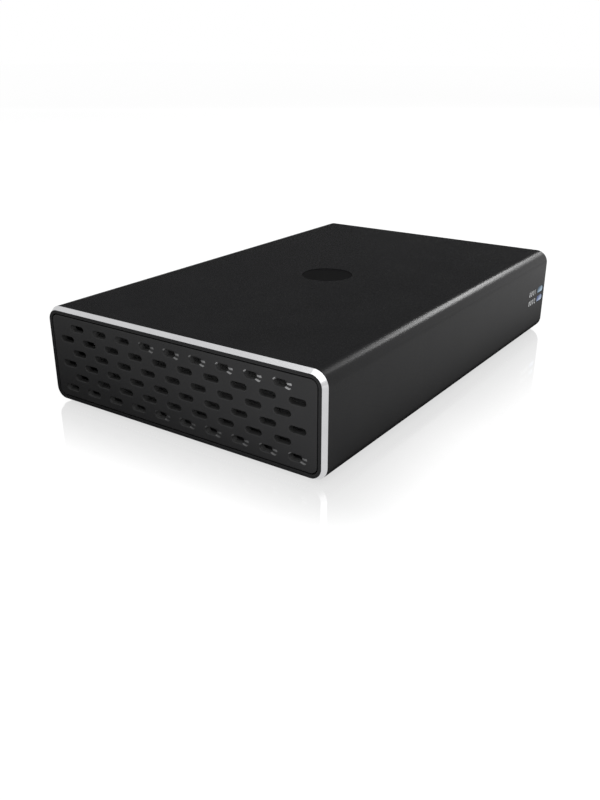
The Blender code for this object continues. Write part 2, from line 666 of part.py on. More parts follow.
def make_drive(number, base_z, tray_root):
    """One 2.5 inch drive: cast base, steel cover, circuit board underneath and rear plug."""
    half = DRIVE_WIDTH / 2
    cover_z = base_z + DRIVE_HEIGHT - DRIVE_COVER
    board_top = base_z + SEAT_GAP + DRIVE_BOARD
    recess_z = board_top + SOLDER_GAP
    tail_y = DRIVE_REAR_Y - DRIVE_TAIL
    bm = bmesh.new()
    box(bm, (-half, TRAY_FRONT_Y, base_z), (half, DRIVE_REAR_Y, cover_z - SOLDER_GAP))
    round_upright_edges(bm, DRIVE_CORNER)
    base = add_part(f"drive_{number}_base", bm, CAST_ALUMINIUM, tray_root)

    bm = bmesh.new()
    inner = half - DRIVE_RIM
    box(bm, (-inner, TRAY_FRONT_Y + DRIVE_RIM, recess_z + DRIVE_FLOOR), (inner, tail_y, cover_z + CUT_OVER))
    plug_half = PLUG_WIDTH / 2 + SEAT_GAP
    plug_depth = SEAT_GAP + PLUG_BASE + PLUG_REACH
    plug_low = base_z + SEAT_GAP
    plug_high = plug_low + PLUG_HEIGHT
    box(
        bm, (-plug_half, DRIVE_REAR_Y - plug_depth, plug_low - SEAT_GAP - CUT_OVER),
        (plug_half, DRIVE_REAR_Y + CUT_OVER, plug_high + SEAT_GAP),
    )
    box(
        bm, (-inner, tail_y - DRIVE_BOARD_LENGTH - SEAT_GAP, base_z - CUT_OVER),
        (inner, tail_y + SEAT_GAP, recess_z),
    )
    for side, y, z in drive_screw_places():
        if base_z < z < cover_z:
            centre = (side * (half - (DRIVE_HOLE_DEPTH - CUT_OVER) / 2), y, z)
            bore = DRIVE_SCREW.shank + SCREW_GAP
            cylinder(bm, centre, bore, DRIVE_HOLE_DEPTH + CUT_OVER, "X", SCREW_STEPS)
    cut(base, add_tool(f"drive_{number}_hollows", bm))

    bm = bmesh.new()
    box(bm, (-half, TRAY_FRONT_Y, cover_z), (half, DRIVE_REAR_Y, cover_z + DRIVE_COVER))
    round_upright_edges(bm, DRIVE_CORNER)
    add_part(f"drive_{number}_cover", bm, ZINC_STEEL, tray_root)

    bm = bmesh.new()
    board_half = inner - SEAT_GAP
    box(bm, (-board_half, tail_y - DRIVE_BOARD_LENGTH, base_z + SEAT_GAP), (board_half, tail_y, board_top))
    add_part(f"drive_{number}_board", bm, GREEN_BOARD, tray_root)

    plug_front = DRIVE_REAR_Y - PLUG_BASE - PLUG_REACH
    bm = bmesh.new()
    box(bm, (-PLUG_WIDTH / 2, plug_front, plug_low), (PLUG_WIDTH / 2, plug_front + PLUG_BASE, plug_high))
    plug = add_part(f"drive_{number}_plug", bm, BLACK_PLASTIC, tray_root)
    bm = bmesh.new()
    tongue_half = PLUG_WIDTH / 2 - 2 * PLUG_TONGUE
    tongue_low = (plug_low + plug_high - PLUG_TONGUE) / 2
    box(
        bm, (-tongue_half, plug_front + PLUG_BASE / 2, tongue_low),
        (tongue_half, DRIVE_REAR_Y - SEAT_GAP, tongue_low + PLUG_TONGUE),
    )
    join(plug, add_tool(f"drive_{number}_tongue", bm))
    make_sata_socket(number, plug_low, plug_high, tongue_half, tongue_low, tray_root)


def make_sata_socket(number, low, high, tongue_half, tongue_low, tray_root):
    """The backplane socket: a block with a nose that reaches into the drive round its tongue."""
    nose_front = DRIVE_REAR_Y - PLUG_REACH + SEAT_GAP
    bm = bmesh.new()
    half = PLUG_WIDTH / 2
    box(bm, (-half, nose_front, low), (half, BACKPLANE_Y - SOLDER_GAP, high))
    socket = add_part(f"sata_socket_{number}", bm, BLACK_PLASTIC, tray_root)
    bm = bmesh.new()
    box(
        bm, (-tongue_half - SEAT_GAP, nose_front - CUT_OVER, tongue_low - SEAT_GAP),
        (tongue_half + SEAT_GAP, DRIVE_REAR_Y, tongue_low + PLUG_TONGUE + SEAT_GAP),
    )
    cut(socket, add_tool(f"sata_socket_{number}_slot", bm))


def make_screws(tray_root):
    rear = screw_mesh("rear_screw_solid", REAR_SCREW, DARK_SCREW, flush=True)
    places = [(x, z) for x in both_sides(BORE_X) for z in BORE_HEIGHTS]
    for number, (x, z) in enumerate(places, 1):
        add_object(f"rear_screw_{number}", rear, (x, REAR_FACE_Y - SOLDER_GAP, z), tray_root, FACE_REAR)
    for number, x in enumerate(both_sides(TAB_SCREW_X), 1):
        place = (x, REAR_FACE_Y - SOLDER_GAP, tab_screw_z())
        add_object(f"tab_screw_{number}", rear, place, tray_root, FACE_REAR)
    side_screw = screw_mesh("drive_screw_solid", DRIVE_SCREW, ZINC_STEEL, flush=False)
    for number, (side, y, z) in enumerate(drive_screw_places(), 1):
        place = (side * (TRAY_HALF + SOLDER_GAP), y, z)
        turn = FACE_RIGHT if side > 0 else FACE_LEFT
        add_object(f"drive_screw_{number}", side_screw, place, tray_root, turn)
    board_screw = screw_mesh("board_screw_solid", BOARD_SCREW, ZINC_STEEL, flush=False)
    for number, x in enumerate(both_sides(STANDOFF_X), 1):
        add_object(f"board_screw_{number}", board_screw, (x, STANDOFF_Y, PART_Z), tray_root)


def make_boards(tray_root):
    """The upright backplane in the tray's side slots, and the main board on its standoffs."""
    bm = bmesh.new()
    low = TRAY_TOP_Z + TRAY_STRIP + SEAT_GAP
    box(bm, (-TRAY_HALF, BACKPLANE_Y, low), (TRAY_HALF, BACKPLANE_REAR_Y, TRAY_WALL_Z))
    add_part("backplane_board", bm, GREEN_BOARD, tray_root)

    bm = bmesh.new()
    box(bm, (-BOARD_HALF, BOARD_FRONT_Y, BOARD_Z), (BOARD_HALF, BOARD_REAR_Y, BOARD_TOP_Z))
    board = add_part("main_board", bm, GREEN_BOARD, tray_root)
    bm = bmesh.new()
    for x in both_sides(STANDOFF_X):
        centre = (x, STANDOFF_Y, (BOARD_Z + BOARD_TOP_Z) / 2)
        cylinder(bm, centre, BOARD_SCREW.shank + SCREW_GAP, BOARD_THICK + CUT_OVER, "Z", SCREW_STEPS)
    cut(board, add_tool("board_holes", bm))

    bm = bmesh.new()
    chip_high = BOARD_Z - SOLDER_GAP
    chip_y = (BOARD_FRONT_Y + BOARD_REAR_Y) / 2
    half = CHIP_SIDE / 2
    box(bm, (-half, chip_y - half, chip_high - CHIP_HEIGHT), (half, chip_y + half, chip_high))
    add_part("bridge_chip", bm, CHIP_EPOXY, tray_root)

    bm = bmesh.new()
    link_y = BACKPLANE_REAR_Y + SOLDER_GAP
    box(
        bm, (-LINK_OFFSET - LINK_WIDTH / 2, link_y, PART_Z),
        (-LINK_OFFSET + LINK_WIDTH / 2, link_y + LINK_DEPTH, PART_Z + LINK_HEIGHT),
    )
    add_part("board_link", bm, BLACK_PLASTIC, tray_root)

    neck = CAN_RADIUS - CAN_GROOVE
    profile = [
        (0.0, CAN_HEIGHT), (neck, CAN_HEIGHT), (CAN_RADIUS, CAN_HEIGHT - CAN_GROOVE),
        (CAN_RADIUS, CAN_FOOT + 2 * CAN_GROOVE), (neck, CAN_FOOT + CAN_GROOVE), (CAN_RADIUS, CAN_FOOT),
        (CAN_RADIUS, 0.0), (0.0, 0.0),
    ]
    can = turned_mesh("can_solid", profile, CAN_METAL, SCREW_STEPS)
    can_x = -(BOARD_HALF - CAN_RADIUS - BOARD_EDGE_GAP)
    for number in (1, 2):
        can_y = PORT_Y - SWITCH_DEPTH + CAN_RADIUS - number * (2 * CAN_RADIUS + CAN_GAP)
        add_object(f"capacitor_{number}", can, (can_x, can_y, PART_Z), tray_root)


def make_rear_panel(tray_root):
    """The rear panel, its holes taken from the sockets, switches and screws that pass through."""
    low_z, high_z = FLOOR_Z + PANEL_GAP, ROOF_Z - PANEL_GAP
    radius = max(CORNER_RADIUS - WALL - PANEL_GAP, LEAST_RADIUS)
    bm = bmesh.new()
    rounded_bar(bm, PANEL_HALF, low_z, high_z, REAR_INNER_Y, REAR_FACE_Y, radius)
    panel = add_part("rear_panel", bm, BLACK_PAINT, tray_root)
    middle_y = (REAR_INNER_Y + REAR_FACE_Y) / 2
    through = REAR_THICK + CUT_OVER
    bm = bmesh.new()
    lan_half = LAN_WIDTH / 2 + PORT_FIT
    box(
        bm, (PORT_X["lan"] - lan_half, middle_y - through / 2, PART_Z - PORT_FIT),
        (PORT_X["lan"] + lan_half, middle_y + through / 2, PART_Z + LAN_HEIGHT + PORT_FIT),
    )
    usb_z = PART_Z + USB_HEIGHT / 2
    pill(
        bm, (PORT_X["usb"], middle_y, usb_z), USB_WIDTH + 2 * PORT_FIT, USB_HEIGHT + 2 * PORT_FIT,
        through, "Y",
    )
    cylinder(bm, (PORT_X["jack"], middle_y, PART_Z + JACK_HEIGHT / 2), JACK_BORE + PORT_FIT, through, "Y")
    cylinder(
        bm, (PORT_X["set"], middle_y, PART_Z + BUTTON_BLOCK / 2), BUTTON_RADIUS + PORT_FIT, through, "Y"
    )
    window(
        bm, (PORT_X["power"], middle_y, PART_Z + POWER_BLOCK_HEIGHT / 2), POWER_KNOB + POWER_TRAVEL,
        POWER_KNOB_HEIGHT, through,
    )
    for x in mode_slider_middles():
        centre = (x, middle_y, PART_Z + MODE_BLOCK_HEIGHT / 2)
        window(bm, centre, MODE_KNOB, MODE_KNOB + MODE_TRAVEL, through)
    cut(panel, add_tool("rear_panel_holes", bm))

    bm = bmesh.new()
    vent_half = CHANNEL_X - SLOT_EDGE
    count = math.floor((2 * vent_half - SLOT_LENGTH) / SLOT_PITCH) + 1
    for column in range(count):
        centre = ((column - (count - 1) / 2) * SLOT_PITCH, middle_y, high_z - REAR_VENT_INSET)
        pill(bm, centre, SLOT_LENGTH, SLOT_HEIGHT, through, "Y")
    cut(panel, add_tool("rear_vents", bm))

    places = [(x, z) for x in both_sides(BORE_X) for z in BORE_HEIGHTS]
    places += [(x, tab_screw_z()) for x in both_sides(TAB_SCREW_X)]
    bore = REAR_SHANK + SCREW_GAP
    bm = bmesh.new()
    for x, z in places:
        cylinder(bm, (x, middle_y, z), bore, through, "Y", SCREW_STEPS)
    cut(panel, add_tool("rear_screw_holes", bm))
    slope = (REAR_HEAD - REAR_SHANK) / REAR_HEAD_HEIGHT
    wide = REAR_HEAD + SCREW_GAP + slope * CUT_OVER
    depth = REAR_HEAD_HEIGHT + CUT_OVER
    centre_y = REAR_FACE_Y - SOLDER_GAP + CUT_OVER - depth / 2
    bm = bmesh.new()
    for x, z in places:
        cylinder(bm, (x, centre_y, z), bore, depth, "Y", SCREW_STEPS, wide)
    cut(panel, add_tool("rear_screw_countersinks", bm))


def window(bm, centre, width, height, depth):
    """A rectangular hole through Y that leaves room round what slides in it."""
    size = Vector((width / 2 + SEAT_GAP, depth / 2, height / 2 + SEAT_GAP))
    box(bm, Vector(centre) - size, Vector(centre) + size)


def mode_slider_middles():
    return [PORT_X["mode"] + x for x in both_sides(MODE_PITCH / 2)]


def make_lan_socket(tray_root):
    x = PORT_X["lan"]
    bm = bmesh.new()
    box(
        bm, (x - LAN_WIDTH / 2, REAR_FACE_Y - LAN_MOUTH_DEPTH - LAN_BACK, PART_Z),
        (x + LAN_WIDTH / 2, REAR_FACE_Y, PART_Z + LAN_HEIGHT),
    )
    socket = add_part("lan_socket", bm, ZINC_STEEL, tray_root)
    mouth_low = PART_Z + (LAN_HEIGHT - LAN_MOUTH_HEIGHT - LAN_LATCH_HEIGHT) / 2 + LAN_LATCH_HEIGHT
    mouth_deep = REAR_FACE_Y - LAN_MOUTH_DEPTH
    beyond = REAR_FACE_Y + CUT_OVER
    half = LAN_MOUTH_WIDTH / 2
    bm = bmesh.new()
    box(bm, (x - half, mouth_deep, mouth_low), (x + half, beyond, mouth_low + LAN_MOUTH_HEIGHT))
    cut(socket, add_tool("lan_mouth", bm))
    half = LAN_LATCH_WIDTH / 2
    bm = bmesh.new()
    box(bm, (x - half, mouth_deep, mouth_low - LAN_LATCH_HEIGHT), (x + half, beyond, mouth_low + CUT_OVER))
    cut(socket, add_tool("lan_latch", bm))


def make_usb_socket(tray_root):
    x, z = PORT_X["usb"], PART_Z + USB_HEIGHT / 2
    deep = REAR_FACE_Y - USB_DEPTH
    bm = bmesh.new()
    pill(bm, (x, (deep + REAR_FACE_Y) / 2, z), USB_WIDTH, USB_HEIGHT, USB_DEPTH, "Y")
    shell = add_part("usb_shell", bm, ZINC_STEEL, tray_root)
    inner_width, inner_height = USB_WIDTH - 2 * USB_WALL, USB_HEIGHT - 2 * USB_WALL
    inner_deep = deep + USB_WALL
    bm = bmesh.new()
    hollow = REAR_FACE_Y + CUT_OVER - inner_deep
    pill(bm, (x, inner_deep + hollow / 2, z), inner_width, inner_height, hollow, "Y")
    cut(shell, add_tool("usb_hollow", bm))
    base_front = inner_deep + SOLDER_GAP
    bm = bmesh.new()
    pill(
        bm, (x, base_front + USB_BASE / 2, z), inner_width - 2 * SOLDER_GAP,
        inner_height - 2 * SOLDER_GAP, USB_BASE, "Y",
    )
    tongue = add_part("usb_tongue", bm, BLACK_PLASTIC, tray_root)
    bm = bmesh.new()
    half, thick = USB_TONGUE_WIDTH / 2, USB_TONGUE_THICK / 2
    box(
        bm, (x - half, base_front + USB_BASE / 2, z - thick),
        (x + half, REAR_FACE_Y - USB_TONGUE_SETBACK, z + thick),
    )
    join(tongue, add_tool("usb_blade", bm))


def make_power_jack(tray_root):
    x, z = PORT_X["jack"], PART_Z + JACK_HEIGHT / 2
    half = JACK_WIDTH / 2
    bm = bmesh.new()
    deep = PORT_Y - JACK_BORE_DEPTH - JACK_BACK
    box(bm, (x - half, deep, PART_Z), (x + half, PORT_Y, PART_Z + JACK_HEIGHT))
    body = add_part("jack_body", bm, BLACK_PLASTIC, tray_root)
    bm = bmesh.new()
    hollow = JACK_BORE_DEPTH + CUT_OVER
    cylinder(bm, (x, PORT_Y + CUT_OVER - hollow / 2, z), JACK_BORE, hollow, "Y")
    cut(body, add_tool("jack_bore", bm))
    length = JACK_BORE_DEPTH - SOLDER_GAP - JACK_PIN
    profile = [
        (0.0, length), (JACK_PIN / 2, length), (JACK_PIN, length - JACK_PIN / 2),
        (JACK_PIN, 0.0), (0.0, 0.0),
    ]
    pin = turned_mesh("jack_pin_solid", profile, ZINC_STEEL, SCREW_STEPS)
    add_object("jack_pin", pin, (x, PORT_Y - JACK_BORE_DEPTH + SOLDER_GAP, z), tray_root, FACE_REAR)


def make_slider(name, base, knob, knob_proud, place, tray_root):
    """A slider: a base in its switch block and a knob out through the rear panel."""
    x, z = place
    base_rear = PORT_Y - SOLDER_GAP
    half_width, half_height = base[0] / 2, base[1] / 2
    bm = bmesh.new()
    box(
        bm, (x - half_width, base_rear - SWITCH_BASE_DEPTH, z - half_height),
        (x + half_width, base_rear, z + half_height),
    )
    slider = add_part(name, bm, SWITCH_PLASTIC, tray_root, (x, REAR_FACE_Y, z))
    half_width, half_height = knob[0] / 2, knob[1] / 2
    bm = bmesh.new()
    box(
        bm, (x - half_width, base_rear - SWITCH_BASE_DEPTH / 2, z - half_height),
        (x + half_width, REAR_FACE_Y + knob_proud, z + half_height),
    )
    join(slider, add_tool(f"{name}_knob", bm))


def channel(bm, centre, width, height):
    """Room for a slider's base and its travel, open to the rear."""
    depth = SWITCH_BASE_DEPTH + SOLDER_GAP + SEAT_GAP + CUT_OVER
    x, z = centre
    size = Vector((width / 2 + SEAT_GAP, depth / 2, height / 2 + SEAT_GAP))
    middle = Vector((x, PORT_Y + CUT_OVER - depth / 2, z))
    box(bm, middle - size, middle + size)


def make_switches(tray_root):
    """The power switch with its slider, and the mode switch with its two sliders."""
    x, z = PORT_X["power"], PART_Z + POWER_BLOCK_HEIGHT / 2
    half = POWER_BLOCK_WIDTH / 2
    bm = bmesh.new()
    box(bm, (x - half, PORT_Y - SWITCH_DEPTH, PART_Z), (x + half, PORT_Y, PART_Z + POWER_BLOCK_HEIGHT))
    block = add_part("power_switch", bm, BLACK_PLASTIC, tray_root)
    base_height = POWER_KNOB_HEIGHT + 2 * SEAT_GAP
    bm = bmesh.new()
    channel(bm, (x, z), POWER_BASE + POWER_TRAVEL, base_height)
    cut(block, add_tool("power_switch_channel", bm))
    make_slider(
        "power_slider", (POWER_BASE, base_height), (POWER_KNOB, POWER_KNOB_HEIGHT), POWER_KNOB_PROUD,
        (x - POWER_TRAVEL / 2, z), tray_root,
    )

    x, z = PORT_X["mode"], PART_Z + MODE_BLOCK_HEIGHT / 2
    half = MODE_BLOCK_WIDTH / 2
    bm = bmesh.new()
    box(bm, (x - half, PORT_Y - SWITCH_DEPTH, PART_Z), (x + half, PORT_Y, PART_Z + MODE_BLOCK_HEIGHT))
    block = add_part("mode_switch", bm, BLACK_PLASTIC, tray_root)
    bm = bmesh.new()
    for slider_x in mode_slider_middles():
        channel(bm, (slider_x, z), MODE_BASE, MODE_BASE + MODE_TRAVEL)
    cut(block, add_tool("mode_switch_channels", bm))
    for number, slider_x in enumerate(mode_slider_middles(), 1):
        make_slider(
            f"mode_slider_{number}", (MODE_BASE, MODE_BASE), (MODE_KNOB, MODE_KNOB), MODE_KNOB_PROUD,
            (slider_x, z - MODE_TRAVEL / 2), tray_root,
        )


def make_set_button(tray_root):
    """The push button behind the rear panel, and the switch block that it presses on."""
    x, z = PORT_X["set"], PART_Z + BUTTON_BLOCK / 2
    flange_rear = REAR_INNER_Y - SEAT_GAP
    flange_front = flange_rear - BUTTON_FLANGE
    block_rear = flange_front - BUTTON_TRAVEL - SOLDER_GAP
    half = BUTTON_BLOCK / 2
    bm = bmesh.new()
    block_front = block_rear - BUTTON_BLOCK_DEPTH
    box(bm, (x - half, block_front, PART_Z), (x + half, block_rear, PART_Z + BUTTON_BLOCK))
    add_part("button_switch", bm, BLACK_PLASTIC, tray_root)
    top = REAR_FACE_Y + BUTTON_PROUD - flange_front
    flange_radius = BUTTON_RADIUS + BUTTON_FLANGE
    profile = [
        (0.0, top), (BUTTON_RADIUS - HEAD_EDGE, top), (BUTTON_RADIUS, top - HEAD_EDGE),
        (BUTTON_RADIUS, BUTTON_FLANGE), (flange_radius, BUTTON_FLANGE), (flange_radius, 0.0), (0.0, 0.0),
    ]
    button = turned_mesh("set_button_solid", profile, SWITCH_PLASTIC, ROUND_STEPS)
    add_object("set_button", button, (x, flange_front, z), tray_root, FACE_REAR)


def make_lights(tray_root):
    """The holder at the main board's right edge, and its two light sources."""
    half = WINDOW_LENGTH / 2 - WINDOW_LIP
    high = WINDOW_HEIGHTS[0] + LED_RADIUS + WINDOW_LIP
    bm = bmesh.new()
    box(
        bm, (BOARD_HALF - LED_HOLDER, WINDOW_Y - half, PART_Z),
        (BOARD_HALF, min(WINDOW_Y + half, BOARD_REAR_Y), high),
    )
    holder = add_part("led_holder", bm, BLACK_PLASTIC, tray_root)
    bm = bmesh.new()
    depth = LED_LENGTH - LED_PROUD + SOLDER_GAP + CUT_OVER
    for z in WINDOW_HEIGHTS:
        centre = (BOARD_HALF + CUT_OVER - depth / 2, WINDOW_Y, z)
        cylinder(bm, centre, LED_RADIUS + SOLDER_GAP, depth, "X", SCREW_STEPS)
    cut(holder, add_tool("led_bores", bm))
    shoulder = LED_LENGTH - LED_PROUD
    turns = [math.pi / 2 * step / LED_DOME_STEPS for step in range(1, LED_DOME_STEPS + 1)]
    dome = [(LED_RADIUS * math.sin(turn), shoulder + LED_PROUD * math.cos(turn)) for turn in turns]
    profile = [(0.0, LED_LENGTH), *dome, (LED_RADIUS, 0.0), (0.0, 0.0)]
    led = turned_mesh("led_solid", profile, LIT_LENS, SCREW_STEPS)
    for number, z in enumerate(WINDOW_HEIGHTS, 1):
        add_object(f"led_{number}", led, (BOARD_HALF - shoulder, WINDOW_Y, z), tray_root, FACE_RIGHT)


def main():
    root = bpy.data.objects.new("enclosure_root", None)
    PARTS.objects.link(root)
    tray_root = bpy.data.objects.new("tray_root", None)
    PARTS.objects.link(tray_root)
    tray_root.parent = root
    tray_root.location = (0.0, REAR_FACE_Y, TRAY_Z)

    make_sleeve(root)
    make_front_panel(root)
    make_light_pipes(root)
    make_feet(root)
    make_tray(tray_root)
    make_drive(1, DRIVE_1_Z, tray_root)
    make_drive(2, DRIVE_2_Z, tray_root)
    make_boards(tray_root)
    make_rear_panel(tray_root)
    make_screws(tray_root)
    make_lan_socket(tray_root)
    make_usb_socket(tray_root)
    make_power_jack(tray_root)
    make_switches(tray_root)
    make_set_button(tray_root)
    make_lights(tray_root)


main()
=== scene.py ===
"""Looks of a two-bay drive enclosure: finer shapes, finishes, floor, light and camera.

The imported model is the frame. Pieces made here stand for its nodes where a finer shape or edge shows,
and take their places from the nodes' own boxes. Units are metres, +Z is up and the grille faces -Y.
"""

import math

import bmesh
import bpy
from mathutils import Matrix, Vector


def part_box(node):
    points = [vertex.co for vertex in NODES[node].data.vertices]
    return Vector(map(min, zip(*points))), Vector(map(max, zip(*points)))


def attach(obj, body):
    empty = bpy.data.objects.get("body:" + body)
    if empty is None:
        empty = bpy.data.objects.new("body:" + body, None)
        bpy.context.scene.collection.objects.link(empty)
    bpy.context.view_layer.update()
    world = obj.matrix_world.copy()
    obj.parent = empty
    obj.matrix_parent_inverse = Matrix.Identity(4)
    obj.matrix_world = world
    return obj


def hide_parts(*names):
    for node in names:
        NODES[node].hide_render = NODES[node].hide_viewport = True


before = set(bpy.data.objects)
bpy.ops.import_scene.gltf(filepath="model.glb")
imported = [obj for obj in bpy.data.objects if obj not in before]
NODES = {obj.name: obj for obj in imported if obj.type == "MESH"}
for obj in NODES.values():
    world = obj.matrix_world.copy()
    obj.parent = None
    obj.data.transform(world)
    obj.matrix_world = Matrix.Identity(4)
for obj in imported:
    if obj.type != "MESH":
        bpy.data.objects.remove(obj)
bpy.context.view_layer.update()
LOW, HIGH = 0, 1
MM = 0.001


def mm(*sizes):
    """Sizes given in millimetres."""
    return [size * MM for size in sizes]


# Sleeve and panels
WALL, CORNER, CUT_IN, CUT_BACK = mm(1.7, 3.85, 0.85, 1.25)
CHANNEL, CHANNEL_BORE, CHANNEL_SETBACK = mm(4.8, 1.0, 0.3)
PANEL_GAP, PANEL_THICK, GRILLE_EDGE, REAR_EDGE = mm(0.35, 1.6, 0.2, 0.15)
PANEL_CORNER = CORNER - WALL - PANEL_GAP
SKIRT_WALL, SKIRT_DEPTH = mm(1.2, 4.0)
PEG_POST, PEG, PEG_ROOT = mm(1.5, 0.85, 0.4)
BADGE_RADIUS, BADGE_DEPTH = mm(7.5, 0.2)
FOOT_POCKET, FOOT_FIT, FOOT_EDGE = mm(0.8, 0.15, 0.25)
WINDOW_LENGTH, WINDOW_HEIGHT, WINDOW_FIT, WINDOW_EDGE = mm(5.2, 2.0, 0.1, 0.18)
WINDOW_FLANGE, WINDOW_LIP, WINDOW_RECESS, SEAT = mm(0.7, 0.35, 0.15, 0.1)
# Each window's colours: towards the front and top with painted shade of the hole's rim, and the pale colour
# towards the rear end with painted sheen
WINDOW_COLOURS = ((0.015, 0.045, 0.08), (0.33, 0.42, 0.50)), ((0.03, 0.05, 0.14), (0.34, 0.40, 0.50))
NUMBER_HEIGHT, NUMBER_STEP = mm(1.7, 7.1)
NUMBER_SPACING = 1.35

# Slots of the grille and the rear vents
SLOT_LENGTH, SLOT_HEIGHT, SLOT_PITCH, ROW_PITCH = mm(4.6, 1.6, 8.14, 3.41)
SLOT_LIP, EDGE_ROW_LIP, EDGE_ROW_RAMP, REAR_VENT_DROP = mm(0.22, 0.35, 1.2, 2.55)
SLOT_ROWS, REAR_VENTS = 6, 9
# Each block: slots in its whole row, first column, columns, first row, rows, ends with painted glints or not
SLOT_BLOCKS = (
    (10, 0, 4, 0, 1, False), (10, 4, 6, 0, 1, True), (10, 0, 10, 2, 2, False),
    (9, 0, 9, 1, 2, False), (9, 0, 3, 5, 1, False), (9, 3, 6, 5, 1, True),
)

# Rear panel, knobs and screws
PORT_FIT, SCREW_FIT, JACK_BORE, BUTTON_RADIUS = mm(0.3, 0.15, 3.1, 1.6)
REAR_HEAD, REAR_HEAD_HEIGHT, REAR_SHANK, REAR_LENGTH = mm(1.65, 0.8, 0.85, 5.0)
DRIVE_HEAD, DRIVE_HEAD_HEIGHT, DRIVE_SHANK, DRIVE_LENGTH = mm(2.3, 0.9, 1.4, 3.4)
BOARD_HEAD, BOARD_HEAD_HEIGHT, BOARD_SHANK, BOARD_LENGTH = mm(1.9, 1.2, 0.95, 4.0)
FLUSH_EDGE, HEAD_EDGE, KEY_RADIUS, KEY_DEPTH = mm(0.06, 0.3, 0.85, 0.5)
THREAD_PITCH, THREAD_CUT = mm(0.5, 0.12)
POWER_KNOB, MODE_KNOB = Vector((2.2, 0.0, 1.6)) * MM, Vector((1.2, 0.0, 1.2)) * MM
POWER_TRAVEL, MODE_TRAVEL = mm(2.0, 1.5)
# Each knob: its node, the axis it slides along, its size and its travel
KNOBS = (
    ("power_slider", 0, POWER_KNOB, POWER_TRAVEL),
    ("mode_slider_1", 2, MODE_KNOB, MODE_TRAVEL),
    ("mode_slider_2", 2, MODE_KNOB, MODE_TRAVEL),
)
PRINT_DEPTH, PRINT_HEIGHT, POWER_PRINT_RISE, MODE_PRINT_RISE = mm(0.02, 1.5, 3.4, 3.9)
CAPITAL_SHARE = 0.7
HEX = 6
SIXTH_TURN = math.pi / 3

# Facets, fine edges and how far a cutter reaches past a face
OVER, FINE_EDGE = mm(1.0, 0.12)
CONTACT_EDGE_SHARE = 0.3
COARSE, ROUND, FINE, FINER, FINEST = 24, 32, 48, 64, 96
CORNER_STEPS, PRESS_STEPS = 24, 128
SMOOTH_BELOW = math.radians(32)
FLAT_BELOW = math.radians(1)
MERGE, NEAR = 1e-7, 1e-6
UP, DOWN, REARWARD, RIGHTWARD = (0.0, 0.0, 1.0), (0.0, 0.0, -1.0), (0.0, 1.0, 0.0), (1.0, 0.0, 0.0)
FACE_REAR = Matrix.Rotation(math.pi, 4, "Z") @ Matrix.Rotation(math.pi / 2, 4, "X")
FACE_RIGHT = Matrix.Rotation(math.pi / 2, 4, "Z") @ Matrix.Rotation(math.pi / 2, 4, "X")
ALONG = {
    "X": Matrix(((0, 0, 1), (1, 0, 0), (0, 1, 0))).to_4x4(),
    "Y": Matrix(((1, 0, 0), (0, 0, 1), (0, -1, 0))).to_4x4(),
    "Z": Matrix.Identity(4),
}


# Shapes


def keep(bm):
    """The mesh of a worked shape."""
    mesh = bpy.data.meshes.new("shape")
    bm.to_mesh(mesh)
    bm.free()
    return mesh


def edit(mesh):
    """A mesh opened to be worked on."""
    bm = bmesh.new()
    bm.from_mesh(mesh)
    return bm


def dressed(mesh, *materials):
    """A mesh with materials added, in the order of its faces' indices."""
    for material in materials:
        mesh.materials.append(material)
    return mesh


def painted(cutter, index):
    """A cutter whose faces take another of the piece's materials."""
    for face in cutter.polygons:
        face.material_index = index
    return cutter


def joined(*meshes):
    """One mesh of several, with the first one's materials."""
    bm = bmesh.new()
    for mesh in meshes:
        bm.from_mesh(mesh)
    return dressed(keep(bm), *meshes[0].materials)


def box(first, second):
    """A box between two opposite corners."""
    low, high = Vector(map(min, first, second)), Vector(map(max, first, second))
    bm = bmesh.new()
    place = Matrix.Translation((low + high) / 2) @ Matrix.Diagonal((*(high - low), 1.0))
    bmesh.ops.create_cube(bm, size=1.0, matrix=place)
    return keep(bm)


def bevelled(bm, edges, width, steps):
    bmesh.ops.bevel(bm, geom=edges, offset=width, segments=steps, profile=0.5, affect="EDGES")
    return keep(bm)


def rounded_bar(low, high, radius, steps=12, along=REARWARD):
    """A box whose edges along one direction are rounded."""
    bm, line = edit(box(low, high)), Vector(along)
    edges = [e for e in bm.edges if (e.verts[1].co - e.verts[0].co).cross(line).length < MERGE]
    return bevelled(bm, edges, radius, steps)


def rounded_rim(mesh, axis, level, width, steps=3):
    """A shape with the rim of its end at one level of an axis rounded."""
    bm = edit(mesh)
    rim = [e for e in bm.edges if all(abs(v.co[axis] - level) < NEAR for v in e.verts)]
    return bevelled(bm, rim, width, steps)


def cylinder(centre, radius, length, axis, steps=ROUND, end_radius=None):
    """A cylinder, or a cone with end_radius at its far end, centred on a point."""
    bm = bmesh.new()
    bmesh.ops.create_cone(
        bm, cap_ends=True, segments=steps, radius1=radius,
        radius2=radius if end_radius is None else end_radius, depth=length,
        matrix=Matrix.Translation(centre) @ ALONG[axis],
    )
    return keep(bm)


def pill(centre, length, height, depth, axis, steps=36):
    """An obround bar through axis X or Y, longest along the other of the two."""
    half_facet = math.pi / steps
    bm = edit(cylinder((0, 0, 0), height / 2 / math.cos(half_facet), depth, "Z", steps))
    bmesh.ops.transform(bm, verts=bm.verts, matrix=Matrix.Rotation(half_facet, 4, "Z"))
    for point in bm.verts:
        point.co.x += math.copysign((length - height) / 2, point.co.x)
    bmesh.ops.transform(bm, verts=bm.verts, matrix=Matrix.Translation(centre) @ ALONG[axis])
    return keep(bm)


def sunk(face, depth, outwards=1):
    """Middle and length of a cutter that goes a depth into a face and reaches past it."""
    return face + outwards * (OVER - depth) / 2, depth + OVER


def row(count, pitch, centre=0.0):
    """Places of a centred row."""
    return [centre + (item - (count - 1) / 2) * pitch for item in range(count)]


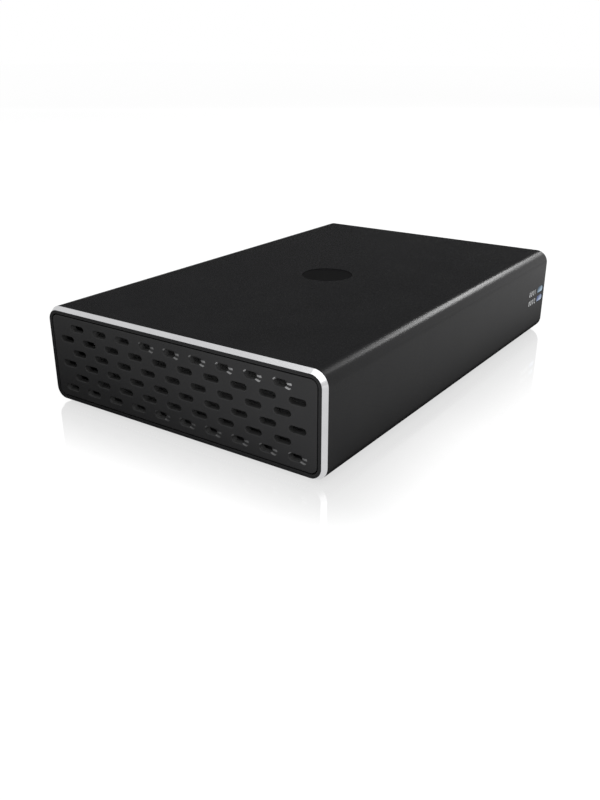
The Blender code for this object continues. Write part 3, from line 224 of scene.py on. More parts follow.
def cleaned(bm, outwards=True, flat=True):
    """A worked shape's mesh, its doubled points merged, its faces turned out and flat ones joined."""
    bmesh.ops.remove_doubles(bm, verts=bm.verts, dist=MERGE)
    if outwards:
        bmesh.ops.recalc_face_normals(bm, faces=bm.faces)
    if flat:
        bmesh.ops.dissolve_limit(bm, angle_limit=FLAT_BELOW, verts=bm.verts, edges=bm.edges)
    return keep(bm)


def turned(profile, steps=ROUND):
    """A closed shape turned about Z from (radius, height) points."""
    bm = bmesh.new()
    points = [bm.verts.new((radius, 0.0, height)) for radius, height in profile]
    edges = [bm.edges.new(pair) for pair in zip(points, points[1:])]
    bmesh.ops.spin(
        bm, geom=points + edges, axis=UP, cent=(0, 0, 0), steps=steps, angle=2 * math.pi
    )
    return cleaned(bm)


def rounded_edge(radius, top, across, down=None, steps=4):
    """Profile points round an edge, from the top to the side."""
    down = down or across
    turns = [math.pi / 2 * step / steps for step in range(steps + 1)]
    return [(radius - across + across * math.sin(t), top - down + down * math.cos(t)) for t in turns]


def rounded_disc(radius, height, edge, steps):
    return turned([(0.0, height), *rounded_edge(radius, height, edge), (radius, 0.0), (0.0, 0.0)], steps)


def domed_pin(radius, length, dome):
    return turned([*rounded_edge(radius, length, radius, dome, 6), (radius, 0.0), (0.0, 0.0)])


def lettering(text, height, place, turn, spacing=1.0):
    """Closed letter shapes to sink a print into a face, laid along X and turned from facing +Z."""
    curve = bpy.data.curves.new("print", "FONT")
    curve.body = text
    curve.size = height / CAPITAL_SHARE
    curve.space_character = spacing
    curve.align_x = curve.align_y = "CENTER"
    curve.extrude = PRINT_DEPTH
    curve.resolution_u = 6
    letters = edit(cleaned(edit(baked(blank_object("print", curve))), flat=False))
    bmesh.ops.transform(letters, verts=letters.verts, matrix=Matrix.Translation(place) @ turn)
    return keep(letters)


def blank_object(name, data):
    made = bpy.data.objects.new(name, data)
    bpy.context.scene.collection.objects.link(made)
    return made


def baked(blank, *helpers):
    """The plain mesh an object's modifiers give; the object and its helpers are removed."""
    graph = bpy.context.evaluated_depsgraph_get()
    mesh = bpy.data.meshes.new_from_object(blank.evaluated_get(graph))
    for spent in (blank, *helpers):
        bpy.data.objects.remove(spent, do_unlink=True)
    return mesh


def carved(mesh, *cutters):
    """A mesh less each of the cutters."""
    blank = blank_object("blank", mesh)
    tools = [blank_object("cutter", dressed(cutter, *mesh.materials)) for cutter in cutters]
    for tool in tools:
        step = blank.modifiers.new("cut", "BOOLEAN")
        step.operation = "DIFFERENCE"
        step.object = tool
    return baked(blank, *tools)


def keyed(mesh, top, radius=KEY_RADIUS, depth=KEY_DEPTH):
    """A screw with a hexagon socket in its head."""
    return carved(mesh, cylinder((0.0, 0.0, top), radius, 2 * depth, "Z", HEX))


def edged(mesh, width=FINE_EDGE, segments=2):
    """A mesh with its sharp edges rounded."""
    blank = blank_object("blank", mesh)
    step = blank.modifiers.new("edge", "BEVEL")
    step.limit_method = "ANGLE"
    step.angle_limit = SMOOTH_BELOW
    step.width = width
    step.segments = segments
    step.use_clamp_overlap = True
    return baked(blank)


def grown(mesh, *stages):
    """A mesh run through Geometry Nodes stages, each a tree and its inputs' values by name."""
    blank = blank_object("blank", mesh)
    for tree, values in stages:
        step = blank.modifiers.new(tree.name, "NODES")
        step.node_group = tree
        keys = {s.name: s.identifier for s in tree.interface.items_tree if s.in_out == "INPUT"}
        for label, value in values.items():
            step[keys[label]] = value
    return baked(blank)


def node_copy(node, *materials):
    """A copy of a node's shape with its triangles joined into whole faces."""
    return dressed(cleaned(edit(NODES[node].data), outwards=False), *materials)


def extent(node):
    """A node's low and high corners, its middle and its size."""
    low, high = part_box(node)
    return low, high, (low + high) / 2, high - low


def middle(node):
    return extent(node)[2]


def add_piece(name, mesh, body="tray", stands_for=()):
    """A shown piece with smooth rounds and flat faces, on a body and in place of nodes."""
    mesh.shade_smooth()
    mesh.set_sharp_from_angle(angle=SMOOTH_BELOW)
    blank = blank_object(f"{name}_blank", mesh)
    blank.modifiers.new("flats", "WEIGHTED_NORMAL").keep_sharp = True
    mesh = baked(blank)
    mesh.name = name
    made = blank_object(name, mesh)
    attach(made, body)
    if stands_for:
        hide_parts(*stands_for)


def refined(name, nodes, material, width=FINE_EDGE, segments=2):
    """Nodes' own shapes as one piece with rounded edges."""
    mesh = dressed(joined(*(node_copy(node) for node in nodes)), material)
    add_piece(name, edged(mesh, width, segments), "tray", nodes)


# Node trees

SOCKET_TYPES = {float: "Float", int: "Int", tuple: "Vector"}
OUTPUT_TYPES = {"Shader": "Float", "Geometry": "Geometry"}
RANDOM_INPUTS = {"FLOAT": 2, "INT": 4}


class Value:
    """A node's output to reckon with: each sum or comparison adds a Math node to its tree."""

    def __init__(self, tree, socket):
        self.tree, self.socket = tree, socket

    def calc(self, operation, *others):
        return math_node(self.tree, operation, self, *others)

    def clamped(self):
        return add_node(self.tree, "ShaderNodeClamp", {"Value": self})[0]

    def __add__(self, other):
        return self.calc("ADD", other)

    def __sub__(self, other):
        return self.calc("SUBTRACT", other)

    def __rsub__(self, other):
        return math_node(self.tree, "SUBTRACT", other, self)

    def __mul__(self, other):
        return self.calc("MULTIPLY", other)

    def __truediv__(self, other):
        return self.calc("DIVIDE", other)

    def __lt__(self, other):
        return self.calc("LESS_THAN", other)

    def __gt__(self, other):
        return self.calc("GREATER_THAN", other)


class Outputs:
    """A node's outputs, each picked by name or number."""

    def __init__(self, tree, sockets):
        self.tree, self.sockets = tree, sockets

    def __getitem__(self, key):
        return Value(self.tree, self.sockets[key])


def wire(node, inputs):
    """Sets or links a node's inputs."""
    for key, value in inputs.items():
        if isinstance(value, Value):
            value.tree.links.new(value.socket, node.inputs[key])
        else:
            node.inputs[key].default_value = value


def add_node(tree, kind, inputs=None, **settings):
    """A node with its settings made and its inputs wired; gives its outputs."""
    node = tree.nodes.new(kind)
    for name, value in settings.items():
        setattr(node, name, value)
    wire(node, inputs or {})
    return Outputs(tree, node.outputs)


def math_node(tree, operation, *numbers):
    return add_node(tree, "ShaderNodeMath", dict(enumerate(numbers)), operation=operation)[0]


def mixed(share, *colours):
    """A colour between two colours."""
    first, second = (c if isinstance(c, Value) else (*c, 1.0) for c in colours)
    return add_node(share.tree, "ShaderNodeMix", {0: share, 6: first, 7: second}, data_type="RGBA")[2]


def blended(share, first, second):
    """A shader between two shaders."""
    return add_node(share.tree, "ShaderNodeMixShader", {0: share, 1: first, 2: second})[0]


def ranged(value, low, high, to_low=0.0, to_high=1.0):
    """A value's place between two limits, spread between two others."""
    limits = {"From Min": low, "From Max": high, "To Min": to_low, "To Max": to_high}
    return add_node(value.tree, "ShaderNodeMapRange", {"Value": value, **limits})[0]


def object_place(tree):
    return add_node(tree, "ShaderNodeTexCoord")["Object"]


def axes(vector):
    """A vector's three parts."""
    parts = add_node(vector.tree, "ShaderNodeSeparateXYZ", {0: vector})
    return parts["X"], parts["Y"], parts["Z"]


def vector_of(tree, **parts):
    return add_node(tree, "ShaderNodeCombineXYZ", parts)[0]


def noise(place, scale, detail=3.0, roughness=0.6):
    inputs = {"Vector": place, "Scale": scale, "Detail": detail, "Roughness": roughness}
    return add_node(place.tree, "ShaderNodeTexNoise", inputs)[0]


def random_value(tree, kind, low, high, seed):
    first = RANDOM_INPUTS[kind]
    inputs = {first: low, first + 1: high, "Seed": seed}
    return add_node(tree, "FunctionNodeRandomValue", inputs, data_type=kind)[first // 2]


def new_group(name, kind, inputs, *outputs):
    """A node group with named sockets: its tree, its inputs and the node that takes its outputs.

    An input is given by its first value, or by its type where it has none.
    """
    tree = bpy.data.node_groups.new(name, f"{kind}NodeTree")
    ends = [(label, "INPUT", value) for label, value in inputs.items()]
    ends += [(label, "OUTPUT", OUTPUT_TYPES[kind]) for label in outputs]
    for label, way, value in ends:
        sort = SOCKET_TYPES.get(type(value), value)
        socket = tree.interface.new_socket(name=label, in_out=way, socket_type=f"NodeSocket{sort}")
        if sort != value:
            socket.default_value = value
    source, sink = tree.nodes.new("NodeGroupInput"), tree.nodes.new("NodeGroupOutput")
    return tree, Outputs(tree, source.outputs), sink


def use_group(tree, group, **inputs):
    """A group's outputs; an input's name is given with _ for a space."""
    named = {label.replace("_", " "): value for label, value in inputs.items()}
    return add_node(tree, "ShaderNodeGroup", named, node_tree=group)


# Finishes

CLOUD_DETAIL = 4.0
CLOUD_SPREAD = -0.4, 1.4
WEAR_GAIN = 5.0
COAT_SHINE, COAT_BUMP = (0.2, 0.9), 0.35
METAL_SHINE, METAL_BUMP, METAL_BUMP_DEPTH = (0.2, 0.1), 0.15, 0.00001
PLAIN_NOISE = 2.0, 0.5
# Painted glints on slot ends: noise scale and spread, the X and Z spans over which they brighten, and their
# darkest and brightest colour
GLINT_SCALE, GLINT_CLOUD = 3500.0, (0.2, 0.9)
GLINT_ACROSS, GLINT_UP = (-0.024, 0.036), (-0.006, 0.022)
GLINT_DARK, GLINT_BRIGHT = (0.02, 0.02, 0.0205), (0.17, 0.17, 0.172)
TRACK_WIDTH, VIA_OUTER, VIA_INNER = 0.09, 0.16, 0.07
TRACK_JITTER, VIA_JITTER = 0.75, 0.6
MASK_DARK, MASK_LIGHT, MASK_TRACK = (0.006, 0.055, 0.022), (0.009, 0.075, 0.03), (0.018, 0.125, 0.05)
VIA_METAL = 0.62, 0.55, 0.40
TRACK_BUMP, TRACK_BUMP_DEPTH = 0.3, 0.00003
LIT_ALONG, LIT_UP, LIT_BASE, LIT_CLOUD, LIT_SCALE = 160.0, 420.0, 0.25, 0.25, 900.0
WINDOW_GLOW, LED_GLOW = 0.5, 0.6
LED_DEEP, LED_PALE = (0.10, 0.24, 0.6), (0.55, 0.72, 0.95)


def grain_group():
    """Fine grain of a blasted, moulded or coated surface, with broad cloudy toning."""
    inputs = {"Grain Scale": 6000.0, "Cloud Scale": 60.0}
    tree, given, sink = new_group("surface_grain", "Shader", inputs, "Height", "Cloud")
    place = object_place(tree)
    cloud = noise(place, given["Cloud Scale"], CLOUD_DETAIL)
    height = noise(place, given["Grain Scale"])
    wire(sink, {"Height": height, "Cloud": ranged(cloud, 0.0, 1.0, *CLOUD_SPREAD)})
    return tree


def wear_group():
    """A mask of worn edges: where a widened edge normal leaves the face's own, broken up by noise."""
    inputs = {"Width": 0.0003, "Break Scale": 900.0}
    tree, given, sink = new_group("edge_wear", "Shader", inputs, "Mask")
    wide = add_node(tree, "ShaderNodeBevel", {"Radius": given["Width"]}, samples=4)[0]
    own = add_node(tree, "ShaderNodeNewGeometry")["Normal"]
    agree = add_node(tree, "ShaderNodeVectorMath", {0: wide, 1: own}, operation="DOT_PRODUCT")["Value"]
    broken = noise(object_place(tree), given["Break Scale"])
    wire(sink, {"Mask": ((1.0 - agree) * WEAR_GAIN * broken).clamped()})
    return tree


def brushed_group():
    """Fine straight lines, as left by a cutter, a brush or rolling."""
    inputs = {"Stretch": (4000.0, 40.0, 4000.0)}
    tree, given, sink = new_group("brushed_lines", "Shader", inputs, "Height")
    place = {"Vector": object_place(tree), "Scale": given["Stretch"]}
    wire(sink, {"Height": noise(add_node(tree, "ShaderNodeMapping", place)[0], 1.0)})
    return tree


def tracks_group():
    """Masks of a circuit board's tracks under the solder mask, and of its bare via rings."""
    inputs = {"Track Scale": 420.0, "Via Scale": 300.0}
    tree, given, sink = new_group("board_tracks", "Shader", inputs, "Tracks", "Vias")
    cells, dots = (
        add_node(
            tree, "ShaderNodeTexVoronoi",
            {"Vector": object_place(tree), "Scale": given[scale], "Randomness": randomness}, **settings,
        )[0]
        for scale, randomness, settings in (
            ("Track Scale", TRACK_JITTER, {"feature": "DISTANCE_TO_EDGE", "distance": "CHEBYCHEV"}),
            ("Via Scale", VIA_JITTER, {}),
        )
    )
    wire(sink, {"Tracks": cells < TRACK_WIDTH, "Vias": (dots < VIA_OUTER) - (dots < VIA_INNER)})
    return tree


GRAIN, WEAR, BRUSHED = grain_group(), wear_group(), brushed_group()


def finish(name, roughness, metallic=0.0, specular=0.5):
    """A material with a bare Principled shader, its tree and that shader."""
    made = bpy.data.materials.new(name)
    made.use_nodes = True
    shader = made.node_tree.nodes["Principled BSDF"]
    wire(shader, {"Roughness": roughness, "Metallic": metallic, "Specular IOR Level": specular})
    return made, made.node_tree, shader


def bumped(height, strength, depth):
    inputs = {"Height": height, "Strength": strength, "Distance": depth}
    return add_node(height.tree, "ShaderNodeBump", inputs)[0]


def coated(name, dark, light, worn, roughness, grain=6000.0, bump_depth=0.00002, specular=0.5):
    """A coated or moulded finish: cloudy tone between two colours, fine grain and paler worn edges."""
    made, tree, shader = finish(name, roughness, specular=specular)
    surface = use_group(tree, GRAIN, Grain_Scale=grain)
    tone = mixed(surface["Cloud"], dark, light)
    swing, base = (share * roughness for share in COAT_SHINE)
    wire(shader, {
        "Base Color": mixed(use_group(tree, WEAR)["Mask"], tone, worn),
        "Roughness": surface["Height"].calc("MULTIPLY_ADD", swing, base),
        "Normal": bumped(surface["Height"], COAT_BUMP, bump_depth),
    })
    return made


def bare_metal(name, dark, light, roughness, stretch, cloud=120.0):
    """A bare or plated metal finish with fine lines and a cloudy tone."""
    made, tree, shader = finish(name, roughness, 1.0)
    lines = use_group(tree, BRUSHED, Stretch=stretch)["Height"]
    swing, drop = METAL_SHINE
    wire(shader, {
        "Base Color": mixed(use_group(tree, GRAIN, Cloud_Scale=cloud)["Cloud"], dark, light),
        "Roughness": lines.calc("MULTIPLY_ADD", swing, roughness - drop),
        "Normal": bumped(lines, METAL_BUMP, METAL_BUMP_DEPTH),
    })
    return made


def painted_glint_lip():
    """Slot ends with a smoother finish and painted glints, lighter towards the panel's upper right corner
    where the light falls.
    """
    made, tree, shader = finish("painted_glint_lip", roughness=0.3)
    place = object_place(tree)
    x, _, z = axes(place)
    cloud = noise(place, GLINT_SCALE, *PLAIN_NOISE).calc("MULTIPLY_ADD", *GLINT_CLOUD)
    # Painted glint: the base colour lightens towards the upper right, where the light falls
    share = ranged(x, *GLINT_ACROSS) * ranged(z, *GLINT_UP) * cloud
    wire(shader, {"Base Color": mixed(share, GLINT_DARK, GLINT_BRIGHT)})
    return made


def board_finish():
    """Green solder mask over paler tracks, with bare metal via rings."""
    made, tree, shader = finish("green_board", roughness=0.36)
    masks = use_group(tree, tracks_group())
    plain = mixed(use_group(tree, GRAIN, Cloud_Scale=150.0)["Cloud"], MASK_DARK, MASK_LIGHT)
    wire(shader, {
        "Base Color": mixed(masks["Vias"], mixed(masks["Tracks"], plain, MASK_TRACK), VIA_METAL),
        "Metallic": masks["Vias"],
        "Normal": bumped(masks["Tracks"], TRACK_BUMP, TRACK_BUMP_DEPTH),
    })
    return made


def lit_window(name, cool, pale, spot):
    """A clear window lit from behind, glowing by emission: pale towards its rear and lower end, partly
    painted sheen, and its own colour towards the front and top, partly painted shade of the hole's rim.
    """
    made, tree, shader = finish(name, roughness=0.25, specular=0.1)
    place = object_place(tree)
    _, y, z = axes(place)
    slant = (y - spot.y) * LIT_ALONG - (z - spot.z) * LIT_UP
    share = slant + LIT_BASE + noise(place, LIT_SCALE, *PLAIN_NOISE) * LIT_CLOUD
    colour = mixed(share.clamped(), cool, pale)
    wire(shader, {"Base Color": colour, "Emission Color": colour, "Emission Strength": WINDOW_GLOW})
    return made


def led_finish():
    """A clear blue light source, brighter towards its dome."""
    made, tree, shader = finish("clear_blue_lens", roughness=0.2)
    low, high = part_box("led_1")
    glow = mixed(ranged(axes(object_place(tree))[0], low.x, high.x), LED_DEEP, LED_PALE)
    wire(shader, {"Base Color": glow, "Emission Color": glow, "Emission Strength": LED_GLOW})
    return made


# Coated finishes: darkest and lightest tone, worn edges, roughness, grain scale, bump depth, specular
BLACK_ANODISED = coated(
    "black_anodised", (0.0115, 0.0115, 0.012), (0.0145, 0.0145, 0.015), (0.03, 0.03, 0.031), 0.27,
    bump_depth=0.000004, specular=0.05,
)
BADGE_DARK = coated(
    "badge_dark", (0.0046, 0.0046, 0.0048), (0.006, 0.006, 0.0062), (0.01, 0.01, 0.01), 0.5, specular=0.03
)
PANEL_PLASTIC = coated(
    "grille_moulding", (0.0135, 0.0135, 0.014), (0.0175, 0.0175, 0.018), (0.04, 0.04, 0.04), 0.48,
    3500.0, 0.00004, 0.14,
)
# Slot walls: the grille's moulding with painted light, lighter than its face; the outer rows' walls lighter
# still
SLOT_WALLS_PAINTED_LIGHT, EDGE_SLOT_WALLS_PAINTED_LIGHT = (
    coated(name, *([tone * share] * 3 for share in (1.0, 1.2, 1.4)), 0.55, 3500.0, 0.00004, 0.1)
    for name, tone in (("slot_walls", 0.021), ("edge_slot_walls", 0.034))
)
FOOT_RUBBER = coated(
    "pad_rubber", (0.014, 0.014, 0.014), (0.022, 0.022, 0.022), (0.04, 0.04, 0.04), 0.85,
    2500.0, 0.00005, 0.2,
)
PAINTED_SHEET = coated(
    "black_powder_coat", (0.0125, 0.0125, 0.013), (0.0165, 0.0165, 0.017), (0.05, 0.05, 0.05), 0.55,
    2600.0, 0.00006, 0.2,
)
PRINT_WHITE = coated(
    "print_white", (0.66, 0.67, 0.68), (0.74, 0.75, 0.76), (0.8, 0.8, 0.8), 0.6, 4000.0, 0.00001
)
SWITCH_PLASTIC = coated(
    "switch_black", (0.022, 0.022, 0.024), (0.03, 0.03, 0.032), (0.07, 0.07, 0.07), 0.42,
    4000.0, specular=0.3,
)
CONNECTOR_PLASTIC = coated(
    "black_nylon", (0.018, 0.018, 0.019), (0.026, 0.026, 0.027), (0.06, 0.06, 0.06), 0.45,
    3000.0, specular=0.3,
)
CHIP_EPOXY = coated(
    "black_epoxy", (0.016, 0.016, 0.017), (0.024, 0.024, 0.025), (0.05, 0.05, 0.05), 0.62,
    5000.0, specular=0.3,
)
CHIP_CERAMIC = coated(
    "chip_ceramic", (0.02, 0.02, 0.02), (0.36, 0.27, 0.18), (0.4, 0.32, 0.24), 0.45, 3000.0, 0.00001
)
COATED_CASTING = coated(
    "coated_casting", (0.046, 0.046, 0.047), (0.058, 0.058, 0.059), (0.16, 0.16, 0.16), 0.5,
    1800.0, 0.00008, 0.3,
)

# Bare metals: darkest and lightest tone, roughness, how the fine lines are stretched, cloud scale
(
    BRIGHT_CUT, BLACK_SCREW, ZINC_SCREW, ZINC_SHEET, DRIVE_COVER, SOCKET_STEEL, CAN_METAL, CONTACT_GOLD,
    SOLDER_TIN,
) = (
    bare_metal(*row_of_values)
    for row_of_values in (
        ("bright_cut", (0.535, 0.535, 0.545), (0.59, 0.59, 0.6), 0.24, (2500.0, 30.0, 2500.0)),
        ("blackened_steel", (0.022, 0.022, 0.023), (0.04, 0.04, 0.042), 0.38, (900.0, 900.0, 900.0)),
        ("zinc_plate", (0.50, 0.51, 0.53), (0.62, 0.63, 0.64), 0.3, (900.0, 900.0, 900.0)),
        ("zinc_sheet", (0.44, 0.45, 0.46), (0.58, 0.59, 0.60), 0.36, (1500.0, 25.0, 1500.0), 90.0),
        ("pressed_steel", (0.46, 0.46, 0.47), (0.53, 0.53, 0.54), 0.36, (60.0, 2600.0, 2600.0), 50.0),
        ("nickel_plate", (0.54, 0.53, 0.51), (0.62, 0.61, 0.59), 0.26, (1800.0, 40.0, 1800.0)),
        ("can_aluminium", (0.60, 0.60, 0.61), (0.68, 0.68, 0.69), 0.3, (2000.0, 2000.0, 40.0)),
        ("contact_gold", (0.72, 0.48, 0.16), (0.82, 0.58, 0.24), 0.28, (900.0, 40.0, 900.0)),
        ("solder_tin", (0.52, 0.53, 0.54), (0.64, 0.65, 0.66), 0.34, (900.0, 900.0, 900.0)),
    )
)
PAINTED_GLINT_LIP, CIRCUIT_BOARD, LED_LENS = painted_glint_lip(), board_finish(), led_finish()


# Geometry Nodes trees

SLOT_FACETS, SLOT_RINGS = 38, 6
# Strokes of painted glint round a slot, on a unit circle: level and half width, and where along they begin
RIGHT_STROKES, LEFT_STROKE = ((0.2, 0.25), (-0.78, 0.17)), (0.7, 0.25)
RIGHT_FROM, LEFT_TO = 0.2, -0.3
CHIP_SIZES = 0.75, 1.2


def slot_tree():
    """Cuts a field of slots with rounded lips through a panel that faces along Y."""
    inputs = {
        "Panel": "Geometry", "Columns": 1, "Rows": 1, "Column Pitch": 0.01, "Row Pitch": 0.01,
        "Slot Length": 0.005, "Slot Height": 0.002, "Lip": 0.0002, "Ramp": 0.0, "Depth": 0.003,
        "Start": (0.0, 0.0, 0.0), "Turn": math.pi / 2,
        "Finish": "Material", "Glint Finish": "Material", "Wall Finish": "Material",
    }
    tree, given, sink = new_group("slot_field", "Geometry", inputs, "Panel")

    def set_material(mesh, part, label):
        inputs = {"Geometry": mesh, "Selection": part, "Material": given[label]}
        return add_node(tree, "GeometryNodeSetMaterial", inputs)[0]

    def real(instances):
        return add_node(tree, "GeometryNodeRealizeInstances", {0: instances})[0]

    def line(**inputs):
        return add_node(tree, "GeometryNodeMeshLine", {k.replace("_", " "): v for k, v in inputs.items()})[0]

    sizes = {
        "Vertices": SLOT_FACETS, "Side Segments": SLOT_RINGS, "Radius": 1.0, "Depth": float(SLOT_RINGS),
    }
    blank = add_node(tree, "GeometryNodeMeshCylinder", sizes, fill_type="NGON")["Mesh"]
    x, y, z = axes(add_node(tree, "GeometryNodeInputPosition")[0])
    ring = z + SLOT_RINGS / 2
    # Right-end and upper-left strokes take the end finish, which on the outer rows is a material with
    # painted glints
    upper, lower = (y.calc("COMPARE", *stroke) for stroke in RIGHT_STROKES)
    right_end = (x > RIGHT_FROM) * upper.calc("MAXIMUM", lower)
    left_top = (x < LEFT_TO) * y.calc("COMPARE", *LEFT_STROKE)
    blank = set_material(blank, True, "Finish")
    blank = set_material(blank, right_end.calc("MAXIMUM", left_top), "Glint Finish")
    blank = set_material(blank, ring < 1.0, "Wall Finish")
    turn = (ring - 1.0) * (math.pi / 2 / (SLOT_RINGS - 2))
    turn = turn.calc("MAXIMUM", 0.0).calc("MINIMUM", math.pi / 2)
    inward = turn.calc("COSINE")
    radius = given["Slot Height"] / 2.0 + given["Lip"] * (1.0 - inward)
    straight = (given["Slot Length"] - given["Slot Height"]) / 2.0
    ramp = given["Ramp"] * inward * (x > 0.0)
    across = x.calc("MULTIPLY_ADD", radius, x.calc("SIGN") * straight - ramp)
    deep = given["Lip"] * (turn.calc("SINE") - 1.0)
    level = deep + (ring > SLOT_RINGS - 0.5) * OVER - (ring < 0.5) * given["Depth"]
    shape = {"Geometry": blank, "Position": vector_of(tree, X=across, Y=y * radius, Z=level)}
    cutter = add_node(tree, "GeometryNodeSetPosition", shape)[0]

    columns = line(Count=given["Columns"], Offset=vector_of(tree, X=given["Column Pitch"]))
    step_up = vector_of(tree, Z=given["Row Pitch"])
    rows = line(Count=given["Rows"], Start_Location=given["Start"], Offset=step_up)
    spots = add_node(tree, "GeometryNodeInstanceOnPoints", {"Points": rows, "Instance": columns})[0]
    facing = vector_of(tree, X=given["Turn"])
    copies = {"Points": real(spots), "Instance": cutter, "Rotation": facing}
    cutters = real(add_node(tree, "GeometryNodeInstanceOnPoints", copies)[0])
    solids = {"Mesh 1": given["Panel"], "Mesh 2": cutters}
    cut = add_node(tree, "GeometryNodeMeshBoolean", solids, operation="DIFFERENCE", solver="EXACT")[0]
    walls = add_node(tree, "GeometryNodeMaterialSelection", {0: given["Wall Finish"]})[0]
    wire(sink, {"Panel": set_material(real(cut), walls, "Wall Finish")})
    return tree


def stamp_tree(name, base, inputs, lay_out):
    """Sets a shape out on points, each turned along the point's own facing and rolled about it.

    lay_out gives the points, their facing, the shapes' scale and their roll.
    """
    inputs = {base: "Geometry", "Shape": "Object", **inputs, "Finish": "Material"}
    tree, given, sink = new_group(name, "Geometry", inputs, "Shapes")
    points, facing, scale, roll = lay_out(tree, given)
    shape = add_node(tree, "GeometryNodeObjectInfo", {"Object": given["Shape"]})["Geometry"]
    turn = add_node(tree, "FunctionNodeAlignRotationToVector", {"Vector": facing}, axis="Z")[0]
    copies = {"Points": points, "Instance": shape, "Rotation": turn, "Scale": scale}
    placed = add_node(tree, "GeometryNodeInstanceOnPoints", copies)[0]
    rolls = {"Instances": placed, "Rotation": vector_of(tree, Z=roll), "Local Space": True}
    rolled = add_node(tree, "GeometryNodeRotateInstances", rolls)[0]
    solid = add_node(tree, "GeometryNodeRealizeInstances", {0: rolled})[0]
    finished = {"Geometry": solid, "Material": given["Finish"]}
    wire(sink, {"Shapes": add_node(tree, "GeometryNodeSetMaterial", finished)[0]})
    return tree


def by_facing(tree, given):
    """Given points, faced by their own attribute and rolled at random."""
    named = {"Name": "facing"}
    facing = add_node(tree, "GeometryNodeInputNamedAttribute", named, data_type="FLOAT_VECTOR")[0]
    roll = random_value(tree, "FLOAT", 0.0, given["Roll"], given["Seed"])
    return given["Points"], facing, (1.0, 1.0, 1.0), roll


def over_zones(tree, given):
    """Points scattered over flat zones, square to the zones' sides; one seed gives one layout."""
    inputs = {
        "Mesh": given["Zones"], "Distance Min": given["Spacing"], "Density Max": given["Density"],
        "Seed": given["Seed"],
    }
    spots = add_node(tree, "GeometryNodeDistributePointsOnFaces", inputs, distribute_method="POISSON")
    size = random_value(tree, "FLOAT", *CHIP_SIZES, given["Seed"])
    roll = random_value(tree, "INT", 0, 1, given["Seed"]) * (math.pi / 2)
    return spots["Points"], spots["Normal"], size, roll


SLOT_FIELD = slot_tree()
SET_OUT = stamp_tree("set_out", "Points", {"Roll": 0.0, "Seed": 1}, by_facing)
BOARD_PARTS = stamp_tree(
    "board_parts", "Zones", {"Spacing": 0.002, "Density": 200000.0, "Seed": 7}, over_zones
)


def stamped(base, tree, shape, material, **values):
    """Copies of a shape set out on a base mesh."""
    stamp = blank_object("stamp", dressed(shape, material))
    mesh = grown(dressed(base, material), (tree, {"Shape": stamp, "Finish": material, **values}))
    bpy.data.objects.remove(stamp, do_unlink=True)
    return mesh


def set_out(name, shape, places, material, stands_for=(), roll=0.0, body="tray"):
    """One piece of like shapes, set out on places given as (point, facing)."""
    points = bpy.data.meshes.new(name)
    points.from_pydata([place for place, _ in places], [], [])
    facing = points.attributes.new("facing", "FLOAT_VECTOR", "POINT")
    for item, (_, direction) in zip(facing.data, places):
        item.vector = direction
    add_piece(name, stamped(points, SET_OUT, shape, material, Roll=roll), body, stands_for)


def contact_row(name, count, centre, pitch, size, material, tip=0.0):
    """A row along X of like contacts or legs with rounded edges, tipped about X."""
    bar = edged(box(-Vector(size) / 2, Vector(size) / 2), min(size) * CONTACT_EDGE_SHARE)
    facing = Matrix.Rotation(tip, 3, "X") @ Vector(UP)
    x, y, z = centre
    set_out(name, bar, [((place, y, z), facing) for place in row(count, pitch, x)], material)


def scatter(name, zones, shape, material, spacing, seed):
    """Small parts on flat zones, each a corner and the two sides that leave it."""
    corners = []
    for origin, along, up in zones:
        origin, along, up = Vector(origin), Vector(along), Vector(up)
        corners += [origin, origin + along, origin + along + up, origin + up]
    mesh = bpy.data.meshes.new(name)
    mesh.from_pydata(corners, [], [tuple(range(n, n + 4)) for n in range(0, len(corners), 4)])
    add_piece(name, stamped(mesh, BOARD_PARTS, shape, material, Spacing=spacing, Seed=seed))


# Sleeve and what it carries

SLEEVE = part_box("sleeve")
REAR_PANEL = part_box("rear_panel")
FRONT_Y = SLEEVE[LOW].y
INNER = (SLEEVE[LOW] + Vector((WALL, 0, WALL)), SLEEVE[HIGH] - Vector((WALL, 0, WALL)))
SKIRT_END_Y = FRONT_Y + PANEL_THICK + SKIRT_DEPTH
BORES = [
    (x, z)
    for x in (INNER[LOW].x + CHANNEL / 2, INNER[HIGH].x - CHANNEL / 2)
    for z in (INNER[LOW].z + CHANNEL / 2, INNER[HIGH].z - CHANNEL / 2)
]
FEET = ("foot_1", "foot_2", "foot_3", "foot_4")
WINDOWS = ("light_pipe_1", "light_pipe_2")


